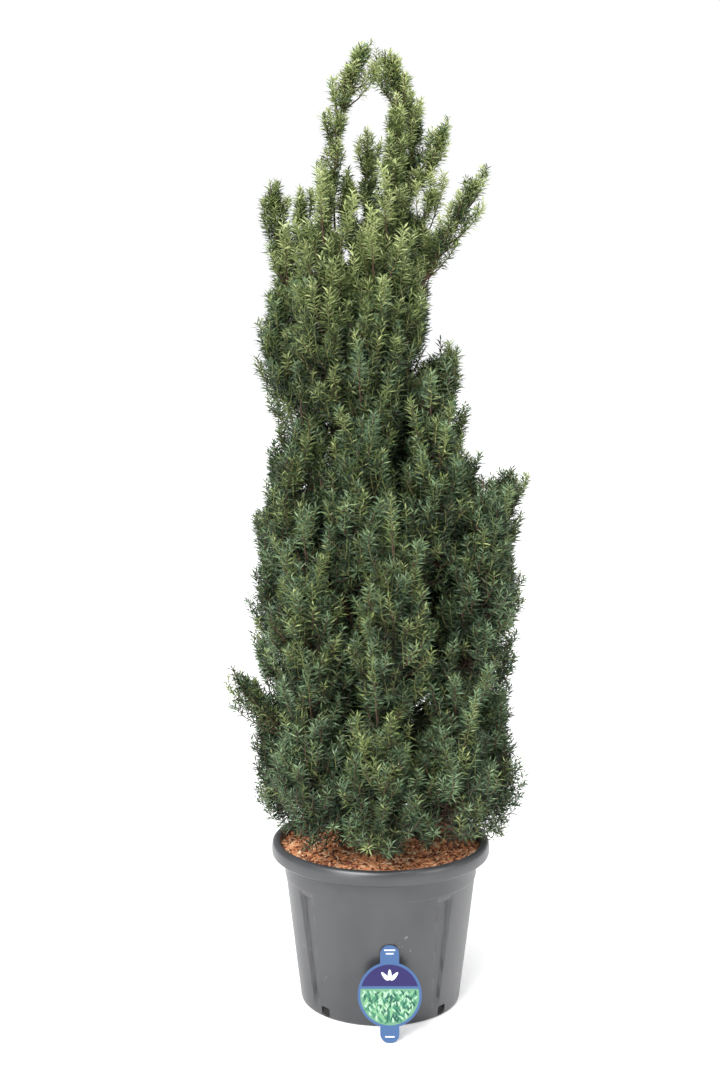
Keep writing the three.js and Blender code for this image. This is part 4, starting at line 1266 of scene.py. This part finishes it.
def make_tag():
    blue = new_material("tag_blue", (0.041, 0.089, 0.20), 0.32)[0]
    violet = new_material("tag_violet", (0.018, 0.013, 0.08), 0.32)[0]
    white = new_material("tag_white", (0.62, 0.64, 0.64), 0.35)[0]
    sky = new_material("tag_pale_green", (0.10, 0.23, 0.14), 0.32)[0]
    greens = [new_material(f"tag_green_{i + 1}", colour, 0.32)[0] for i, colour in enumerate(
        ((0.012, 0.07, 0.05), (0.03, 0.15, 0.085), (0.15, 0.32, 0.17), (0.29, 0.45, 0.31)))]
    half = TAG_TAB / 2
    shoulder = math.degrees(math.asin(half / TAG_RADIUS))
    corner = TAG_CORNER
    top = TAG_RADIUS + TAG_TOP
    foot = -TAG_RADIUS - TAG_FOOT
    ease = arc(corner, 0, 90, 6, (half - corner, top - corner))
    ease += arc(corner, 90, 180, 6, (corner - half, top - corner))
    outline = ease + arc(TAG_RADIUS, 90 + shoulder, 270 - shoulder, 60)
    outline += arc(corner, 180, 270, 6, (corner - half, foot + corner))
    outline += arc(corner, 270, 360, 6, (half - corner, foot + corner))
    outline += arc(TAG_RADIUS, -90 + shoulder, 90 - shoulder, 60)
    panels = [tag_panel("plate", outline, 0, TAG_THICK, blue)]

    def printed(name, outline, material, over=0.0, thick=PRINT_THICK):
        panels.append(tag_panel(name, outline, TAG_THICK + over, thick, material))

    field = TAG_RADIUS - 6
    rise = 14
    cut = math.degrees(math.asin(rise / field))
    printed("lower_field", arc(field, 180 - cut, 360 + cut, 60), sky)
    printed("upper_field", arc(field, cut + 5, 175 - cut, 40), violet)
    random = numbers_from(LEAF_SEED)
    leaves = 0
    for row in range(15):
        for step in range(19):
            middle = ((step - 9) * 7.4 + (row % 2) * 3.7 + 3 * random(), rise - 8 - row * 5.2 - 2 * random())
            turn = 110 * (random() - 0.5)
            tone = greens[int(random() * len(greens))]
            length = 10 + 5 * random()
            if math.hypot(*middle) < field - 0.5 * length and middle[1] < rise - 0.5 * length:
                leaves += 1
                printed("leaf", leaf_outline(middle, length, 0.36 * length, turn), tone,
                        PRINT_THICK + 0.004 * leaves, 0.1)
    for turn in (-42, 0, 42):
        angle = math.radians(turn)
        middle = (-14 * math.sin(angle) * 1.2, 33 + 13 * math.cos(angle))
        printed("emblem", leaf_outline(middle, 25, 9, turn), white, PRINT_THICK)
    for height, width in ((top - 13, 26), (top - 21, 18), (foot + 13, 22)):
        bar = [(-width / 2, height), (width / 2, height), (width / 2, height + 3), (-width / 2, height + 3)]
        printed("bar", bar, white)
    deselect()
    for panel in panels:
        panel.select_set(True)
    bpy.context.view_layer.objects.active = panels[0]
    bpy.ops.object.join()
    tag = bpy.context.object
    tag.name = "care_tag"
    tag.data.transform(tag_matrix())
    finish_piece(tag, "tag", "tag")


# The stage: a pale floor, soft light from all round, and the camera.

def make_stage():
    bpy.ops.mesh.primitive_circle_add(vertices=64, radius=30, fill_type="NGON", location=(0, 0, 0))
    floor = bpy.context.object
    floor.name = "floor"
    material, shader = new_material("white_floor", (0.84, 0.84, 0.84), 0.7, 0.2)
    set_inputs(shader, {"Emission Color": (1, 1, 1, 1), "Emission Strength": 0.3})
    floor.data.materials.append(material)
    world = bpy.data.worlds.new("white_surround")
    bpy.context.scene.world = world
    world.use_nodes = True
    nodes, links = world.node_tree.nodes, world.node_tree.links
    back = nodes["Background"]
    set_inputs(back, {"Color": (0.98, 0.985, 1.0, 1)})
    # The camera sees the surround white; as light it is softer than the lamps.
    rays = nodes.new("ShaderNodeLightPath")
    strength = range_node(nodes, links, rays.outputs["Is Camera Ray"], 0, 1, 0.48, 1.05)
    links.new(strength, back.inputs["Strength"])
    for name, place, size, power in (
        ("top", (0.8, -0.6, 5.2), 2.4, 150), ("fill_right", (3.2, -2.0, 2.0), 2.0, 45),
        ("low_left", (-1.9, -3.0, 1.0), 1.4, 34),
    ):
        bpy.ops.object.light_add(type="AREA", location=place)
        light = bpy.context.object
        light.name = name
        light.data.size = size
        light.data.energy = power
        light.rotation_euler = (Vector((0, 0, 1.1)) - Vector(place)).to_track_quat("-Z", "Y").to_euler()
    bpy.ops.object.light_add(type="SUN", location=(-3, -3, 5))
    sun = bpy.context.object
    sun.name = "key_left"
    sun.data.energy = 4.2
    sun.data.angle = math.radians(38)
    sun.rotation_euler = Vector((0.48, 0.78, -0.86)).to_track_quat("-Z", "Y").to_euler()
    bpy.ops.object.camera_add(location=CAMERA_PLACE * MM, rotation=(math.radians(CAMERA_TILT), 0, 0))
    camera = bpy.context.object
    camera.data.sensor_fit = "AUTO"
    camera.data.sensor_width = 36
    camera.data.lens = CAMERA_LENS
    bpy.context.scene.camera = camera
    bpy.context.scene.view_settings.view_transform = "Standard"


deselect()
make_stage()
make_pot()
make_mulch()
make_tag()
make_limbs()
grow_stems(grow_foliage())
